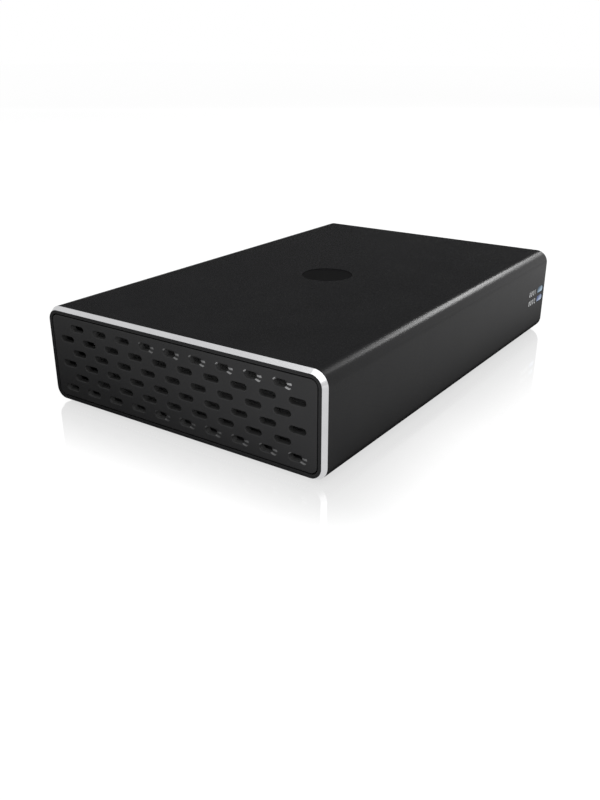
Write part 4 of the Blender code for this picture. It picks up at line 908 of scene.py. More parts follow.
def make_sleeve():
    """The extruded sleeve with bright-cut ends, screw channels, window holes, pockets and badge recess."""
    centre = middle("sleeve")
    cut_back, over = Vector((0, CUT_BACK, 0)), Vector((0, OVER, 0))
    bm = edit(rounded_bar(SLEEVE[LOW] + cut_back, SLEEVE[HIGH] - cut_back, CORNER, CORNER_STEPS))
    for end in (-1, 1):
        face = max(bm.faces, key=lambda f: end * f.calc_center_median().y)
        ring = bmesh.ops.inset_region(bm, faces=[face], thickness=CUT_IN, use_even_offset=True)
        bmesh.ops.translate(bm, verts=face.verts, vec=end * cut_back)
        for cut_face in ring["faces"]:
            cut_face.material_index = 1
    shell = dressed(keep(bm), BLACK_ANODISED, BRIGHT_CUT, BADGE_DARK, PRINT_WHITE)

    channels, holes, prints = [], [], []
    start, stop = SKIRT_END_Y + CHANNEL_SETBACK, REAR_PANEL[LOW].y - CHANNEL_SETBACK
    for x, z in BORES:
        inward = -Vector((math.copysign(CHANNEL / 2, x), 0, math.copysign(CHANNEL / 2, z - centre.z)))
        channels.append(box(Vector((x, start, z)) + inward, Vector((x, stop, z)) - inward * 2))
        bore = stop - start + 2 * OVER
        holes.append(cylinder((x, (start + stop) / 2, z), CHANNEL_BORE, bore, "Y", COARSE))
    tube = rounded_bar(INNER[LOW] - over, INNER[HIGH] + over, CORNER - WALL)
    side_x = SLEEVE[HIGH].x
    for number, window in enumerate(WINDOWS, 1):
        spot = middle(window)
        length, height = WINDOW_LENGTH + 2 * WINDOW_FIT, WINDOW_HEIGHT + 2 * WINDOW_FIT
        holes.append(pill((side_x - WALL / 2, spot.y, spot.z), length, height, WALL + 2 * OVER, "X"))
        place = (side_x, spot.y - NUMBER_STEP, spot.z)
        prints.append(lettering(f"000{number}", NUMBER_HEIGHT, place, FACE_RIGHT, NUMBER_SPACING))
    for foot in FEET:
        spot, size = extent(foot)[2:]
        level, depth = sunk(SLEEVE[LOW].z, FOOT_POCKET, -1)
        holes.append(cylinder((spot.x, spot.y, level), size.x / 2 + FOOT_FIT, depth, "Z", FINER))
    level, depth = sunk(SLEEVE[HIGH].z, BADGE_DEPTH)
    badge = cylinder((centre.x, centre.y, level), BADGE_RADIUS, depth, "Z", FINEST)
    hollow = carved(tube, joined(*channels))
    mesh = carved(shell, hollow, joined(*holes), painted(badge, 2), painted(joined(*prints), 3))
    add_piece("sleeve_shell", mesh, "sleeve", ("sleeve",))


def make_windows():
    face_x, seat_x = SLEEVE[HIGH].x - WINDOW_RECESS, SLEEVE[HIGH].x - WALL - SEAT
    nose = WALL + WINDOW_FLANGE / 2
    for number, (window, colours) in enumerate(zip(WINDOWS, WINDOW_COLOURS), 1):
        spot = middle(window)
        front = pill((face_x - nose / 2, spot.y, spot.z), WINDOW_LENGTH, WINDOW_HEIGHT, nose, "X")
        flange = pill(
            (seat_x - WINDOW_FLANGE / 2, spot.y, spot.z), WINDOW_LENGTH + SEAT,
            WINDOW_HEIGHT + 2 * WINDOW_LIP, WINDOW_FLANGE, "X",
        )
        mesh = joined(rounded_rim(front, 0, face_x, WINDOW_EDGE, 4), flange)
        mesh = dressed(mesh, lit_window(f"window_lit_{number}", *colours, spot))
        add_piece(f"window_lens_{number}", mesh, "sleeve", (window,))


def slot_stage(columns, rows, start, turn, lip, ramp, face, ends, walls):
    """The Geometry Nodes stage that cuts one block of slots."""
    return SLOT_FIELD, {
        "Columns": columns, "Rows": rows, "Column Pitch": SLOT_PITCH, "Row Pitch": 2 * ROW_PITCH,
        "Slot Length": SLOT_LENGTH, "Slot Height": SLOT_HEIGHT, "Lip": lip, "Ramp": ramp,
        "Depth": PANEL_THICK + lip, "Start": start, "Turn": turn, "Finish": face,
        "Glint Finish": ends, "Wall Finish": walls,
    }


def make_grille():
    """The grille panel: a plate with a rounded rim, skirt, posts and pegs, cut by staggered slots."""
    gap, skirt = Vector((PANEL_GAP, 0, PANEL_GAP)), Vector((SKIRT_WALL, 0, SKIRT_WALL))
    low, high = INNER[LOW] + gap, INNER[HIGH] - gap
    back_y = FRONT_Y + PANEL_THICK
    plate = rounded_bar((low.x, FRONT_Y, low.z), (high.x, SKIRT_END_Y, high.z), PANEL_CORNER)
    hollow = rounded_bar(
        Vector((low.x, back_y, low.z)) + skirt, Vector((high.x, SKIRT_END_Y + OVER, high.z)) - skirt,
        PANEL_CORNER - SKIRT_WALL,
    )
    plate = carved(dressed(rounded_rim(plate, 1, FRONT_Y, GRILLE_EDGE), PANEL_PLASTIC), hollow)
    centre_z = (low.z + high.z) / 2
    stages = []
    for across, first_column, columns, first_row, rows, with_glints in SLOT_BLOCKS:
        x = (first_column - (across - 1) / 2) * SLOT_PITCH
        start = (x, FRONT_Y, centre_z + (first_row - (SLOT_ROWS - 1) / 2) * ROW_PITCH)
        plain = (SLOT_LIP, 0.0, PANEL_PLASTIC, PANEL_PLASTIC)
        # Blocks so flagged get slot ends with painted glints
        rims = (EDGE_ROW_LIP, EDGE_ROW_RAMP, PANEL_PLASTIC, PAINTED_GLINT_LIP) if with_glints else plain
        # The outer rows' walls carry more painted light
        walls = EDGE_SLOT_WALLS_PAINTED_LIGHT if first_row in (0, SLOT_ROWS - 1) else SLOT_WALLS_PAINTED_LIGHT
        stages.append(slot_stage(columns, rows, start, math.pi / 2, *rims, walls))
    posts = (PEG_POST, back_y - PEG_ROOT, SKIRT_END_Y + SEAT)
    pegs = (PEG, SKIRT_END_Y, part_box("front_panel")[HIGH].y)
    pins = [
        cylinder((x, (start + stop) / 2, z), size, stop - start, "Y", COARSE)
        for x, z in BORES for size, start, stop in (posts, pegs)
    ]
    mesh = joined(grown(plate, *stages), *pins)
    add_piece("grille_panel", mesh, "sleeve", ("front_panel",))


def make_feet():
    _, high, _, size = extent(FEET[0])
    places = [((middle(foot).x, middle(foot).y, high.z), DOWN) for foot in FEET]
    pad = rounded_disc(size.x / 2, size.z, FOOT_EDGE, FINER)
    set_out("foot_pads", pad, places, FOOT_RUBBER, FEET, body="sleeve")


# Rear panel and screws

REAR_SCREWS = tuple(f"rear_screw_{n}" for n in range(1, 5)) + ("tab_screw_1", "tab_screw_2")
DRIVE_SCREWS = tuple(f"drive_screw_{n}" for n in range(1, 9))
BOARD_SCREWS = ("board_screw_1", "board_screw_2")


def rear_screw_places():
    head_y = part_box(REAR_SCREWS[0])[HIGH].y
    return [Vector((middle(screw).x, head_y, middle(screw).z)) for screw in REAR_SCREWS]


def make_rear_panel():
    """The painted rear panel with its port holes, countersinks, vents and printed numbers."""
    low, high, centre, size = extent("rear_panel")
    plate = rounded_rim(rounded_bar(low, high, PANEL_CORNER), 1, high.y, REAR_EDGE)
    through = size.y + 2 * OVER

    def square_hole(near, far):
        return box(
            (near.x - PORT_FIT, low.y - OVER, near.z - PORT_FIT),
            (far.x + PORT_FIT, high.y + OVER, far.z + PORT_FIT),
        )

    def round_hole(spot, radius, steps):
        return cylinder((spot.x, centre.y, spot.z), radius, through, "Y", steps)

    usb, usb_size = extent("usb_shell")[2:]
    usb_length, usb_height = usb_size.x + 2 * PORT_FIT, usb_size.z + 2 * PORT_FIT
    button = middle("set_button")
    holes = [
        square_hole(*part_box("lan_socket")),
        pill((usb.x, centre.y, usb.z), usb_length, usb_height, through, "Y", FINER),
        round_hole(middle("jack_body"), JACK_BORE + PORT_FIT, FINER),
        round_hole(button, BUTTON_RADIUS + PORT_FIT, FINE),
    ]
    for node, axis, knob, travel in KNOBS:
        near, far = middle(node) - knob / 2, middle(node) + knob / 2
        far[axis] += travel
        holes.append(square_hole(near, far))
    sinks = []
    bore, slope = REAR_SHANK + SCREW_FIT, (REAR_HEAD - REAR_SHANK) / REAR_HEAD_HEIGHT
    for spot in rear_screw_places():
        holes.append(round_hole(spot, bore, COARSE))
        level, depth = sunk(spot.y, REAR_HEAD_HEIGHT)
        wide = REAR_HEAD + SCREW_FIT + slope * OVER
        sinks.append(cylinder((spot.x, level, spot.z), bore, depth, "Y", FINE, wide))
    plate = carved(dressed(plate, PAINTED_SHEET, PRINT_WHITE), joined(*holes), joined(*sinks))
    start = (-(REAR_VENTS - 1) / 2 * SLOT_PITCH, high.y, high.z - REAR_VENT_DROP)
    finishes = [PAINTED_SHEET] * 3
    plate = grown(plate, slot_stage(REAR_VENTS, 1, start, -math.pi / 2, SLOT_LIP, 0.0, *finishes))
    power = middle("power_switch")
    prints = [
        lettering(text, PRINT_HEIGHT, (x, high.y, button.z + rise), FACE_REAR)
        for text, x, rise in (
            ("0", power.x - POWER_TRAVEL / 2, POWER_PRINT_RISE),
            ("1", power.x + POWER_TRAVEL / 2, POWER_PRINT_RISE),
            ("2", middle("mode_slider_1").x, MODE_PRINT_RISE),
            ("1", middle("mode_slider_2").x, MODE_PRINT_RISE),
        )
    ]
    mesh = carved(plate, painted(joined(*prints), 1))
    add_piece("rear_plate", mesh, "tray", ("rear_panel",))


def screw_shape(head, head_height, shank, length, flush=False):
    """A screw along Z with a ringed shank and a hexagon socket; flush heads lie under height 0."""
    top = 0.0 if flush else head_height
    seat, tip = top - head_height, top - head_height - length
    under = [] if flush else [(head, seat)]
    rings = []
    for ring in range(int(length / THREAD_PITCH) - 1):
        level = seat - (ring + 0.5) * THREAD_PITCH
        rings += [(shank, level), (shank - THREAD_CUT, level - THREAD_PITCH / 2)]
    crown = rounded_edge(head, top, FLUSH_EDGE if flush else HEAD_EDGE)
    end = [(shank, tip + THREAD_CUT), (shank - THREAD_CUT, tip), (0.0, tip)]
    return keyed(turned([(0.0, top), *crown, *under, (shank, seat), *rings, *end]), top)


def make_screws():
    shape = screw_shape(REAR_HEAD, REAR_HEAD_HEIGHT, REAR_SHANK, REAR_LENGTH, True)
    places = [(spot, REARWARD) for spot in rear_screw_places()]
    set_out("rear_screws", shape, places, BLACK_SCREW, REAR_SCREWS, SIXTH_TURN)
    places = []
    for screw in DRIVE_SCREWS:
        low, high, spot, _ = extent(screw)
        side = math.copysign(1.0, spot.x)
        seat = (high.x if side > 0 else low.x) - side * DRIVE_HEAD_HEIGHT
        places.append(((seat, spot.y, spot.z), (side, 0.0, 0.0)))
    shape = screw_shape(DRIVE_HEAD, DRIVE_HEAD_HEIGHT, DRIVE_SHANK, DRIVE_LENGTH)
    set_out("drive_screws", shape, places, ZINC_SCREW, DRIVE_SCREWS, SIXTH_TURN)
    places = []
    for screw in BOARD_SCREWS:
        _, high, spot, _ = extent(screw)
        places.append(((spot.x, spot.y, high.z - BOARD_HEAD_HEIGHT), UP))
    shape = screw_shape(BOARD_HEAD, BOARD_HEAD_HEIGHT, BOARD_SHANK, BOARD_LENGTH)
    set_out("board_screws", shape, places, ZINC_SCREW, BOARD_SCREWS, SIXTH_TURN)


# Tray, drives and boards

BOARD_EDGE, PLUG_EDGE, CASTING_EDGE = mm(0.08, 0.1, 0.25)
CONTACT_PITCH = 1.27 * MM
DRIVE_CONTACTS, LINK_CONTACTS, LINK_LEVELS = 22, 14, (0.36, 0.72)
SCORE_SHARE = 0.8
DIMPLE_RADIUS, DIMPLE_DEPTH, COVER_EDGE = mm(1.7, 0.45, 0.06)
CHIP_LONG, CHIP_WIDE, CHIP_TALL, CHIP_SPACING = mm(1.2, 0.6, 0.45, 2.0)
CHIP_BODY_SHARE, CHIP_SEED = 0.3, 7
# Zones for small parts: on the main board (left, right, front, rear) and on the backplane's rear face
# (right side, underside, width, height), all in millimetres
MAIN_ZONES = (
    (-34.5, -24.0, 53.2, 60.0), (-22.0, -5.0, 52.8, 60.0), (-0.6, 6.2, 48.6, 59.2), (8.0, 29.0, 48.6, 52.6),
)
BACKPLANE_ZONES = ((34.0, 9.6, 34.0, 9.6), (-2.0, 14.6, 32.0, 4.6))


def make_drive_cover(number):
    """A pressed steel cover: a raised field with a round step over the platters, and screw dimples."""
    node = f"drive_{number}_cover"
    low, high, spot, _ = extent(node)
    corner, rim, slope, step = mm(2.0, 1.1, 0.5, 0.3)
    platter_back, platter_radius, hub_radius, press_depth = mm(14.0, 29.0, 9.0, 0.18)
    screw_in_x, screw_in_y, screw_middle = mm(3.4, 3.6, 42.0)
    bm = edit(rounded_bar(low, (high.x, high.y, high.z - step), corner, 10, UP))
    top = max(bm.faces, key=lambda face: face.calc_center_median().z)
    for thickness in (rim, slope):
        bmesh.ops.inset_region(bm, faces=[top], thickness=thickness, use_even_offset=True)
    bmesh.ops.translate(bm, verts=top.verts, vec=(0.0, 0.0, step))
    plate = dressed(keep(bm), DRIVE_COVER)
    centre = Vector((0.0, spot.y - platter_back, high.z))
    level, depth = sunk(high.z, press_depth)
    press = cylinder((centre.x, centre.y, level), platter_radius, depth, "Z", PRESS_STEPS)
    press = carved(press, cylinder(centre, hub_radius, 4 * OVER, "Z", FINER))
    screw_x = high.x - screw_in_x
    screw_ys = (low.y + screw_in_y, centre.y + screw_middle, high.y - screw_in_y)
    spots = [Vector((x, y, high.z)) for x in (-screw_x, screw_x) for y in screw_ys]
    dimples = [cylinder(spot, DIMPLE_RADIUS, 2 * DIMPLE_DEPTH, "Z") for spot in spots]
    mesh = edged(carved(plate, press, joined(*dimples)), COVER_EDGE)
    add_piece(f"drive_cover_{number}", mesh, "tray", (node,))
    return [(spot - Vector((0, 0, DIMPLE_DEPTH)), UP) for spot in spots]


def make_drives():
    """The tray, and the drives with their castings, covers, cover screws, plugs and sockets."""
    refined("tray_sheet", ("tray",), ZINC_SHEET, PLUG_EDGE)
    bases = ("drive_1_base", "drive_2_base")
    refined("drive_castings", bases, COATED_CASTING, CASTING_EDGE, 3)
    places = make_drive_cover(1) + make_drive_cover(2)
    flat, radius, height, side, key, key_depth = mm(1.0, 1.35, 0.3, 0.12, 0.6, 0.18)
    head = turned([(0.0, height), (flat, height), (radius, side), (radius, 0.0), (0.0, 0.0)], COARSE)
    set_out("cover_screws", keyed(head, height, key, key_depth), places, ZINC_SCREW, roll=SIXTH_TURN)
    plugs, sockets = ("drive_1_plug", "drive_2_plug"), ("sata_socket_1", "sata_socket_2")
    for name, nodes in (("drive_plugs", plugs), ("drive_sockets", sockets)):
        refined(name, nodes, CONNECTOR_PLASTIC, PLUG_EDGE)
    back, rise = mm(1.4, 0.55)
    contact = mm(0.6, 2.2, 0.06)
    for number, plug in enumerate(plugs, 1):
        _, high, spot, _ = extent(plug)
        centre = (0.0, high.y - back, spot.z + rise)
        name = f"drive_contacts_{number}"
        contact_row(name, DRIVE_CONTACTS, centre, CONTACT_PITCH, contact, CONTACT_GOLD)


def make_boards():
    """Circuit boards with scattered chip parts, the bridge chip and the board-to-board link."""
    for name, nodes in (
        ("main_circuit", ("main_board",)), ("backplane_circuit", ("backplane_board",)),
        ("drive_circuits", ("drive_1_board", "drive_2_board")),
    ):
        refined(name, nodes, CIRCUIT_BOARD, BOARD_EDGE)
    top, back_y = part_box("main_board")[HIGH].z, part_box("backplane_board")[HIGH].y
    zones = [
        ((x0 * MM, y0 * MM, top), ((x1 - x0) * MM, 0, 0), (0, (y1 - y0) * MM, 0))
        for x0, x1, y0, y1 in MAIN_ZONES
    ]
    for x, z, wide, tall in BACKPLANE_ZONES:
        zones.append(((x * MM, back_y, z * MM), (-wide * MM, 0, 0), (0, 0, tall * MM)))
    inner, outer = CHIP_LONG * CHIP_BODY_SHARE, CHIP_LONG / 2
    body, left, right = (
        box((near, -CHIP_WIDE / 2, 0.0), (far, CHIP_WIDE / 2, CHIP_TALL))
        for near, far in ((-inner, inner), (-outer, -inner), (inner, outer))
    )
    scatter("chip_parts", zones, body, CHIP_CERAMIC, CHIP_SPACING, CHIP_SEED)
    scatter("chip_part_ends", zones, joined(left, right), SOLDER_TIN, CHIP_SPACING, CHIP_SEED)

    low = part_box("bridge_chip")[LOW]
    edge, dot_in, dot_radius, dot_depth = mm(0.1, 1.4, 0.5, 0.2)
    dot = cylinder((low.x + dot_in, low.y + dot_in, low.z), dot_radius, dot_depth, "Z", COARSE)
    chip = carved(edged(node_copy("bridge_chip", CHIP_EPOXY), edge), dot)
    add_piece("bridge_chip_body", chip, "tray", ("bridge_chip",))

    low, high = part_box("board_link")
    centre_x = (low.x + high.x) / 2
    edge, half, deep, leg_out, leg_up = mm(0.15, 0.3, 0.8, 0.35, 0.1)
    slots = [
        box((x - half, high.y - deep, z - half), (x + half, high.y + OVER, z + half))
        for x in row(LINK_CONTACTS, CONTACT_PITCH, centre_x)
        for z in (low.z + level * (high.z - low.z) for level in LINK_LEVELS)
    ]
    link = carved(edged(node_copy("board_link", CONNECTOR_PLASTIC), edge), joined(*slots))
    add_piece("board_link_block", link, "tray", ("board_link",))
    legs = (centre_x, high.y + leg_out, top + leg_up)
    contact_row("link_legs", LINK_CONTACTS, legs, CONTACT_PITCH, mm(0.4, 1.1, 0.2), SOLDER_TIN)


def make_capacitors():
    """Two metal cans with a rolled groove and a scored top, on plastic feet."""
    cans = ("capacitor_1", "capacitor_2")
    low, _, _, size = extent(cans[0])
    radius, height = size.x / 2, size.z
    foot, groove, foot_gap, foot_edge, score_half, score_depth = mm(0.8, 0.2, 0.02, 0.15, 0.06, 0.1)
    profile = [
        (0.0, height), *rounded_edge(radius, height, 2 * groove), (radius, foot + 4 * groove),
        (radius - groove, foot + 3 * groove), (radius - groove, foot + 2 * groove),
        (radius, foot + groove), (radius, foot), (0.0, foot),
    ]
    top, long = Vector((0, 0, height)), radius * SCORE_SHARE
    scores = [Vector((long, score_half, score_depth)), Vector((score_half, long, score_depth))]
    can = carved(turned(profile, FINE), *(box(top - score, top + score) for score in scores))
    places = [((middle(c).x, middle(c).y, low.z), UP) for c in cans]
    set_out("can_tops", can, places, CAN_METAL, cans)
    base = rounded_disc(radius, foot - foot_gap, foot_edge, FINE)
    set_out("can_feet", base, places, CONNECTOR_PLASTIC)


# Sockets, switches and lights

LAN_CONTACTS, USB_CONTACTS, GRIPS, GRIP_SHARE = 8, 12, 3, 0.28
LAN_TIP, SPRING_TIP = math.radians(16), math.radians(-4)


def make_lan_socket():
    """The network socket: a metal shield round a dark moulding with eight sprung contacts."""
    low, high, spot, size = extent("lan_socket")
    mouth, latch = Vector((11.8, 11.0, 6.8)) * MM, Vector((6.2, 0.0, 1.6)) * MM
    edge, lip, recess, pitch, contact_back, contact_drop = mm(0.25, 0.6, 0.25, 1.02, 5.2, 1.3)
    bottom = low.z + (size.z - mouth.z - latch.z) / 2 + latch.z
    top = bottom + mouth.z
    cuts = [
        painted(box((spot.x - wide / 2, high.y - deep, near), (spot.x + wide / 2, high.y + OVER, far)), 1)
        for wide, deep, near, far in (
            (mouth.x + 2 * lip, recess, bottom - latch.z - lip, top + lip),
            (mouth.x, mouth.y, bottom, top),
            (latch.x, mouth.y, bottom - latch.z, bottom + OVER),
        )
    ]
    shield = edged(dressed(box(low, high), SOCKET_STEEL, CONNECTOR_PLASTIC), edge, 3)
    add_piece("lan_shield", carved(shield, *cuts), "tray", ("lan_socket",))
    centre = (spot.x, high.y - contact_back, top - contact_drop)
    contact_row("lan_contacts", LAN_CONTACTS, centre, pitch, mm(0.34, 7.0, 0.34), CONTACT_GOLD, LAN_TIP)


def make_usb_socket():
    """The data socket: a drawn metal shell round a plastic blade with contacts on both faces."""
    _, high, spot, size = extent("usb_shell")
    wall, edge, pitch, contact_back, contact_rise = mm(0.3, 0.06, 0.5, 2.2, 0.35)
    shell = pill(spot, size.x, size.z, size.y, "Y", FINER)
    level, deep = sunk(high.y, size.y - wall)
    hollow = pill((spot.x, level, spot.z), size.x - 2 * wall, size.z - 2 * wall, deep, "Y", FINER)
    mesh = edged(carved(dressed(shell, SOCKET_STEEL), hollow), edge)
    add_piece("usb_shield", mesh, "tray", ("usb_shell",))
    refined("usb_blade", ("usb_tongue",), CONNECTOR_PLASTIC, BOARD_EDGE)
    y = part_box("usb_tongue")[HIGH].y - contact_back
    for name, side in (("usb_contacts_upper", 1), ("usb_contacts_lower", -1)):
        centre = (spot.x, y, spot.z + side * contact_rise)
        contact_row(name, USB_CONTACTS, centre, pitch, mm(0.26, 3.6, 0.04), CONTACT_GOLD)


def make_power_inlet():
    """The power inlet: a block with a flared bore, a domed pin and a spring."""
    low, high, spot, _ = extent("jack_body")
    edge, bore_depth, flare, flare_depth, spring_back, spring_up = mm(0.3, 9.0, 0.35, 0.5, 4.6, 0.35)
    level, depth = sunk(high.y, bore_depth)
    hollow = cylinder((spot.x, level, spot.z), JACK_BORE, depth, "Y", FINER)
    mouth = cylinder((spot.x, high.y, spot.z), JACK_BORE, flare_depth, "Y", FINER, JACK_BORE + flare)
    mesh = carved(edged(dressed(box(low, high), CONNECTOR_PLASTIC), edge, 3), hollow, mouth)
    add_piece("inlet_body", mesh, "tray", ("jack_body",))
    pin_low, _, pin, size = extent("jack_pin")
    places = [((spot.x, pin_low.y, pin.z), REARWARD)]
    shape = domed_pin(size.x / 2, size.y, size.x / 2)
    set_out("inlet_pin", shape, places, SOCKET_STEEL, ("jack_pin",))
    centre = (spot.x, high.y - spring_back, spot.z - JACK_BORE + spring_up)
    contact_row("inlet_spring", 1, centre, 0.0, mm(1.6, 6.4, 0.2), SOCKET_STEEL, SPRING_TIP)


def make_switches():
    """Switch blocks, slide knobs grooved across their travel for grip, and the dished push button."""
    blocks = ("power_switch", "mode_switch", "button_switch")
    refined("switch_blocks", blocks, CONNECTOR_PLASTIC)
    knob_edge, groove_depth, groove_half = mm(0.1, 0.22, 0.09)
    for node, along, size, _ in KNOBS:
        _, high, spot, _ = extent(node)
        grooves = []
        for place in row(GRIPS, GRIP_SHARE * size[along], spot[along]):
            near, far = spot - size, spot + size
            near.y, far.y = high.y - groove_depth, high.y + OVER
            near[along], far[along] = place - groove_half, place + groove_half
            grooves.append(box(near, far))
        knob = carved(edged(node_copy(node, SWITCH_PLASTIC), knob_edge), joined(*grooves))
        add_piece(f"{node}_knob", knob, node, (node,))
    button = "set_button"
    low, _, spot, size = extent(button)
    flange, edge = mm(0.7, 0.35)
    dish = [(across, size.y - depth) for across, depth in (mm(0.0, 0.12), mm(0.5, 0.1), mm(0.9, 0.04))]
    wide = BUTTON_RADIUS + flange
    profile = [
        *dish, *rounded_edge(BUTTON_RADIUS, size.y, edge, steps=5), (BUTTON_RADIUS, flange),
        (wide, flange), (wide, 0.0), (0.0, 0.0),
    ]
    cap, places = turned(profile, FINE), [((spot.x, low.y, spot.z), REARWARD)]
    set_out("set_button_cap", cap, places, SWITCH_PLASTIC, (button,), body=button)


def make_lights():
    leds = ("led_1", "led_2")
    low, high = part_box("led_holder")
    led_low, _, _, size = extent(leds[0])
    edge, fit, dome = mm(0.2, 0.1, 0.7)
    level, depth = sunk(high.x, high.x - led_low.x + fit)
    spots = [middle(led) for led in leds]
    bores = [cylinder((level, spot.y, spot.z), size.y / 2 + fit, depth, "X") for spot in spots]
    mesh = carved(edged(dressed(box(low, high), CONNECTOR_PLASTIC), edge), joined(*bores))
    add_piece("light_holder", mesh, "tray", ("led_holder",))
    places = [((led_low.x, spot.y, spot.z), RIGHTWARD) for spot in spots]
    set_out("light_sources", domed_pin(size.y / 2, size.x, dome), places, LED_LENS, leds)


# Camera, floor and light

CAMERA_PLACE = (0.129983, -0.202478, 0.089181)
CAMERA_AZIMUTH, CAMERA_ELEVATION = math.radians(34.657), math.radians(23.1781)
CAMERA_LENS, CAMERA_SENSOR, CAMERA_CLIP = 37.123, 36.0, 0.01
WHITE, ROOM_GLOW = (1.0, 1.0, 1.0, 1.0), 0.65
FLOOR_SIZE, FLOOR_DROP = 4.0, 0.05 * MM
# Floor: painted shade near the enclosure in mirrors and bounced light, a painted bright strip (the lip)
# under the front edge, and a painted brighter glow far out
FLOOR_SHADED, FLOOR_PALE = (0.02, 0.02, 0.02), (0.85, 0.85, 0.85)
FLOOR_GLOSS, FLOOR_GLOSS_REACH, FLOOR_GLOSS_POWER = 0.26, 0.021, 1.5
FLOOR_SHADE_REACH, FLOOR_SHADE_TAIL, FLOOR_SHADE_SLOPE, FLOOR_SHADE_POWER = 0.035, 0.06, 0.25, 0.75
FLOOR_LIP_DEPTH, FLOOR_LIP_SIDE, FLOOR_LIP_FRONT, FLOOR_LIP_REACH = 0.0025, 0.022, 0.005, 0.001
FIRST_MIRROR = 1.5
FLOOR_GLOW, FLOOR_STRENGTH = 0.87, 1.06
FLOOR_FAR_START, FLOOR_FAR_REACH, FLOOR_FAR_GAIN = 0.06, 0.25, 0.4
CARD_CORNERS = (-0.65, -0.01, 0.06), (0.85, 0.01, 1.6)
CARD_PLACE, CARD_TURN, CARD_TONE = (-0.62, 0.9, 0.0), math.radians(34), (0.02, 0.02, 0.02, 1.0)
# Softboxes: place, width and height, power, and whether they show in mirroring surfaces
LAMPS = (
    ("rear_right_softbox", (0.16, 0.965, 0.545), (0.38, 0.12), 4.6, True),
    ("low_rear_softbox", (0.5, 1.0, 0.25), (0.6, 0.5), 0.5, True),
    ("front_fill", (0.045, -0.13, 0.035), (0.03, 0.03), 0.032, False),
    ("right_softbox", (0.62, -0.33, 0.75), (0.8, 0.8), 2.6, True),
    ("top_softbox", (0.0, -0.1, 1.2), (1.2, 1.2), 5.2, True),
)


def make_camera():
    data = bpy.data.cameras.new("camera")
    data.lens, data.sensor_width, data.clip_start = CAMERA_LENS, CAMERA_SENSOR, CAMERA_CLIP
    made = blank_object("camera", data)
    across, along = math.cos(CAMERA_AZIMUTH), math.sin(CAMERA_AZIMUTH)
    level = math.cos(CAMERA_ELEVATION)
    back = Vector((along * level, -across * level, math.sin(CAMERA_ELEVATION)))
    right = Vector((across, along, 0.0))
    turn = Matrix((right, back.cross(right), back)).transposed().to_4x4()
    made.matrix_world = Matrix.Translation(CAMERA_PLACE) @ turn
    bpy.context.scene.camera = made


def seen_rays(tree):
    """1 for rays that show a background: straight from the camera, mirrored or through glass."""
    path = add_node(tree, "ShaderNodeLightPath")
    mirrored = path["Is Glossy Ray"].calc("MAXIMUM", path["Is Transmission Ray"])
    return path["Is Camera Ray"].calc("MAXIMUM", mirrored)


def make_world():
    world = bpy.data.worlds.new("studio")
    bpy.context.scene.world = world
    world.use_nodes = True
    tree = world.node_tree
    tree.nodes.clear()
    soft, white = (
        add_node(tree, "ShaderNodeBackground", {"Color": WHITE, "Strength": strength})[0]
        for strength in (ROOM_GLOW, 1.0)
    )
    add_node(tree, "ShaderNodeOutputWorld", {"Surface": blended(seen_rays(tree), soft, white)})


def clear_of(place, x_limits, y_limits, reach):
    """0 inside a rectangle on the floor, rising to 1 at the reach from it."""
    square = 0.0
    for along, (low, high) in zip(place, (x_limits, y_limits)):
        off = (low - along).calc("MAXIMUM", along - high).calc("MAXIMUM", 0.0)
        square = off.calc("MULTIPLY_ADD", off, square)
    return (square.calc("SQRT") / reach).calc("MINIMUM", 1.0)


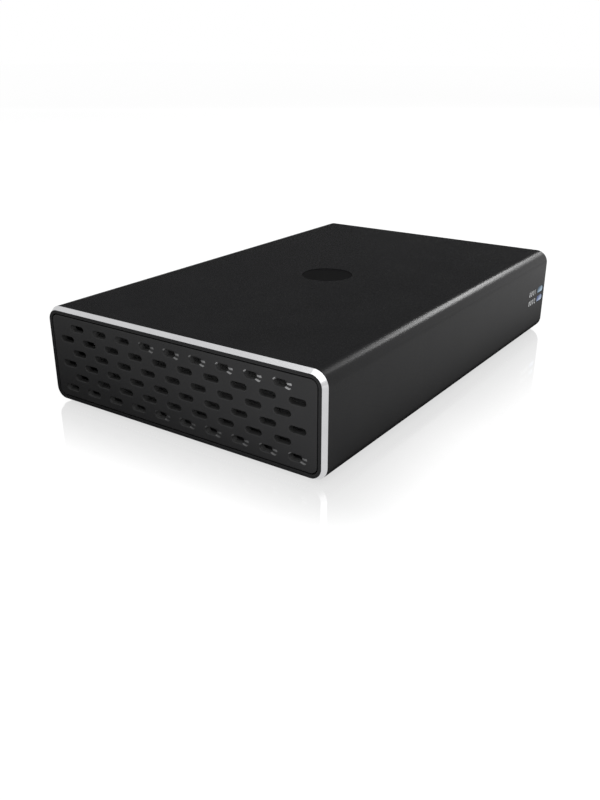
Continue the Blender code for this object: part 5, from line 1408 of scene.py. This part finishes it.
def make_floor():
    """A white floor with a faint gloss round the enclosure, which keeps the soft shadow.

    Mirroring surfaces and bounced light see painted shade on it near the enclosure, but for a painted bright
    strip under its front edge, and a painted brighter glow far out to the right.
    """
    material = bpy.data.materials.new("floor_white")
    material.use_nodes = True
    tree = material.node_tree
    tree.nodes.clear()
    x, y, _ = axes(object_place(tree))
    half = (SLEEVE[HIGH] - SLEEVE[LOW]) / 2
    off_gloss = clear_of((x, y), (-half.x, half.x), (-half.y, half.y), FLOOR_GLOSS_REACH)
    # Painted shade near the enclosure, stretched behind it, to its left and slanting out to the front left
    front = x.calc("MULTIPLY_ADD", FLOOR_SHADE_SLOPE, -half.y - half.x * FLOOR_SHADE_SLOPE)
    tail = half + Vector((FLOOR_SHADE_TAIL, FLOOR_SHADE_TAIL, 0))
    off_shade = clear_of((x, y), (-tail.x, half.x), (front, tail.y), FLOOR_SHADE_REACH)
    # The lip: a painted bright strip under the front edge and beside the front right corner, seen by first
    # mirror rays
    lip_back, lip_front = FLOOR_LIP_DEPTH - half.y, -half.y - FLOOR_LIP_FRONT
    under = clear_of((x, y), (-half.x, half.x), (-half.y, lip_back), FLOOR_LIP_REACH)
    beside = clear_of((x, y), (half.x, half.x + FLOOR_LIP_SIDE), (lip_front, lip_back), FLOOR_LIP_REACH)
    path = add_node(tree, "ShaderNodeLightPath")
    straight = path["Is Camera Ray"]
    lip = (path["Ray Depth"] < FIRST_MIRROR) - under.calc("MINIMUM", beside)
    unshaded = off_shade.calc("POWER", FLOOR_SHADE_POWER).calc("MAXIMUM", lip)
    open_floor = straight.calc("MAXIMUM", unshaded)
    pale = mixed(open_floor, FLOOR_SHADED, FLOOR_PALE)
    lit = add_node(tree, "ShaderNodeBsdfDiffuse", {"Color": pale})[0]
    # Painted brighter glow on the floor far out to the right
    far = ((x - (half.x + FLOOR_FAR_START)) / FLOOR_FAR_REACH).clamped()
    strength = far.calc("MULTIPLY_ADD", FLOOR_FAR_GAIN, FLOOR_STRENGTH)
    glow = add_node(tree, "ShaderNodeEmission", {"Color": WHITE, "Strength": strength})[0]
    gloss = add_node(tree, "ShaderNodeBsdfGlossy", {"Color": WHITE, "Roughness": 0.0})[0]
    near = 1.0 - off_gloss.calc("POWER", FLOOR_GLOSS_POWER)
    shiny = blended(straight * (near * FLOOR_GLOSS), blended(open_floor * FLOOR_GLOW, lit, glow), gloss)
    add_node(tree, "ShaderNodeOutputMaterial", {"Surface": blended(seen_rays(tree), lit, shiny)})
    bm = bmesh.new()
    bmesh.ops.create_grid(bm, x_segments=1, y_segments=1, size=FLOOR_SIZE)
    floor = blank_object("floor", dressed(keep(bm), material))
    floor.location.z = -FLOOR_DROP


def make_lamp(name, place, size, power, mirrored):
    """A rectangular softbox that faces the enclosure."""
    data = bpy.data.lights.new(name, "AREA")
    data.shape = "RECTANGLE"
    data.size, data.size_y = size
    data.energy = power
    made = blank_object(name, data)
    made.location = place
    made.rotation_euler = (-Vector(place)).to_track_quat("-Z", "Y").to_euler()
    made.visible_camera = False
    made.visible_glossy = mirrored


def make_dark_card():
    """A dark card that the sleeve's top mirrors instead of the white room; sharp gloss passes it."""
    material, tree, shader = finish("card_black", roughness=0.9)
    wire(shader, {"Base Color": CARD_TONE})
    sharp = add_node(tree, "ShaderNodeLightPath")["Is Singular Ray"]
    clear = add_node(tree, "ShaderNodeBsdfTransparent")[0]
    both = blended(sharp, Value(tree, shader.outputs[0]), clear)
    wire(tree.nodes["Material Output"], {"Surface": both})
    card = blank_object("dark_card", dressed(box(*CARD_CORNERS), material))
    card.rotation_euler.z = CARD_TURN
    card.location = CARD_PLACE
    card.visible_camera = False
    card.visible_shadow = False


for make in (
    make_sleeve, make_windows, make_grille, make_feet, make_rear_panel, make_screws, make_drives,
    make_boards, make_capacitors, make_lan_socket, make_usb_socket, make_power_inlet, make_switches,
    make_lights, make_camera, make_world, make_floor, make_dark_card,
):
    make()
for lamp in LAMPS:
    make_lamp(*lamp)

scene_view = bpy.context.scene.view_settings
scene_view.view_transform = "Standard"
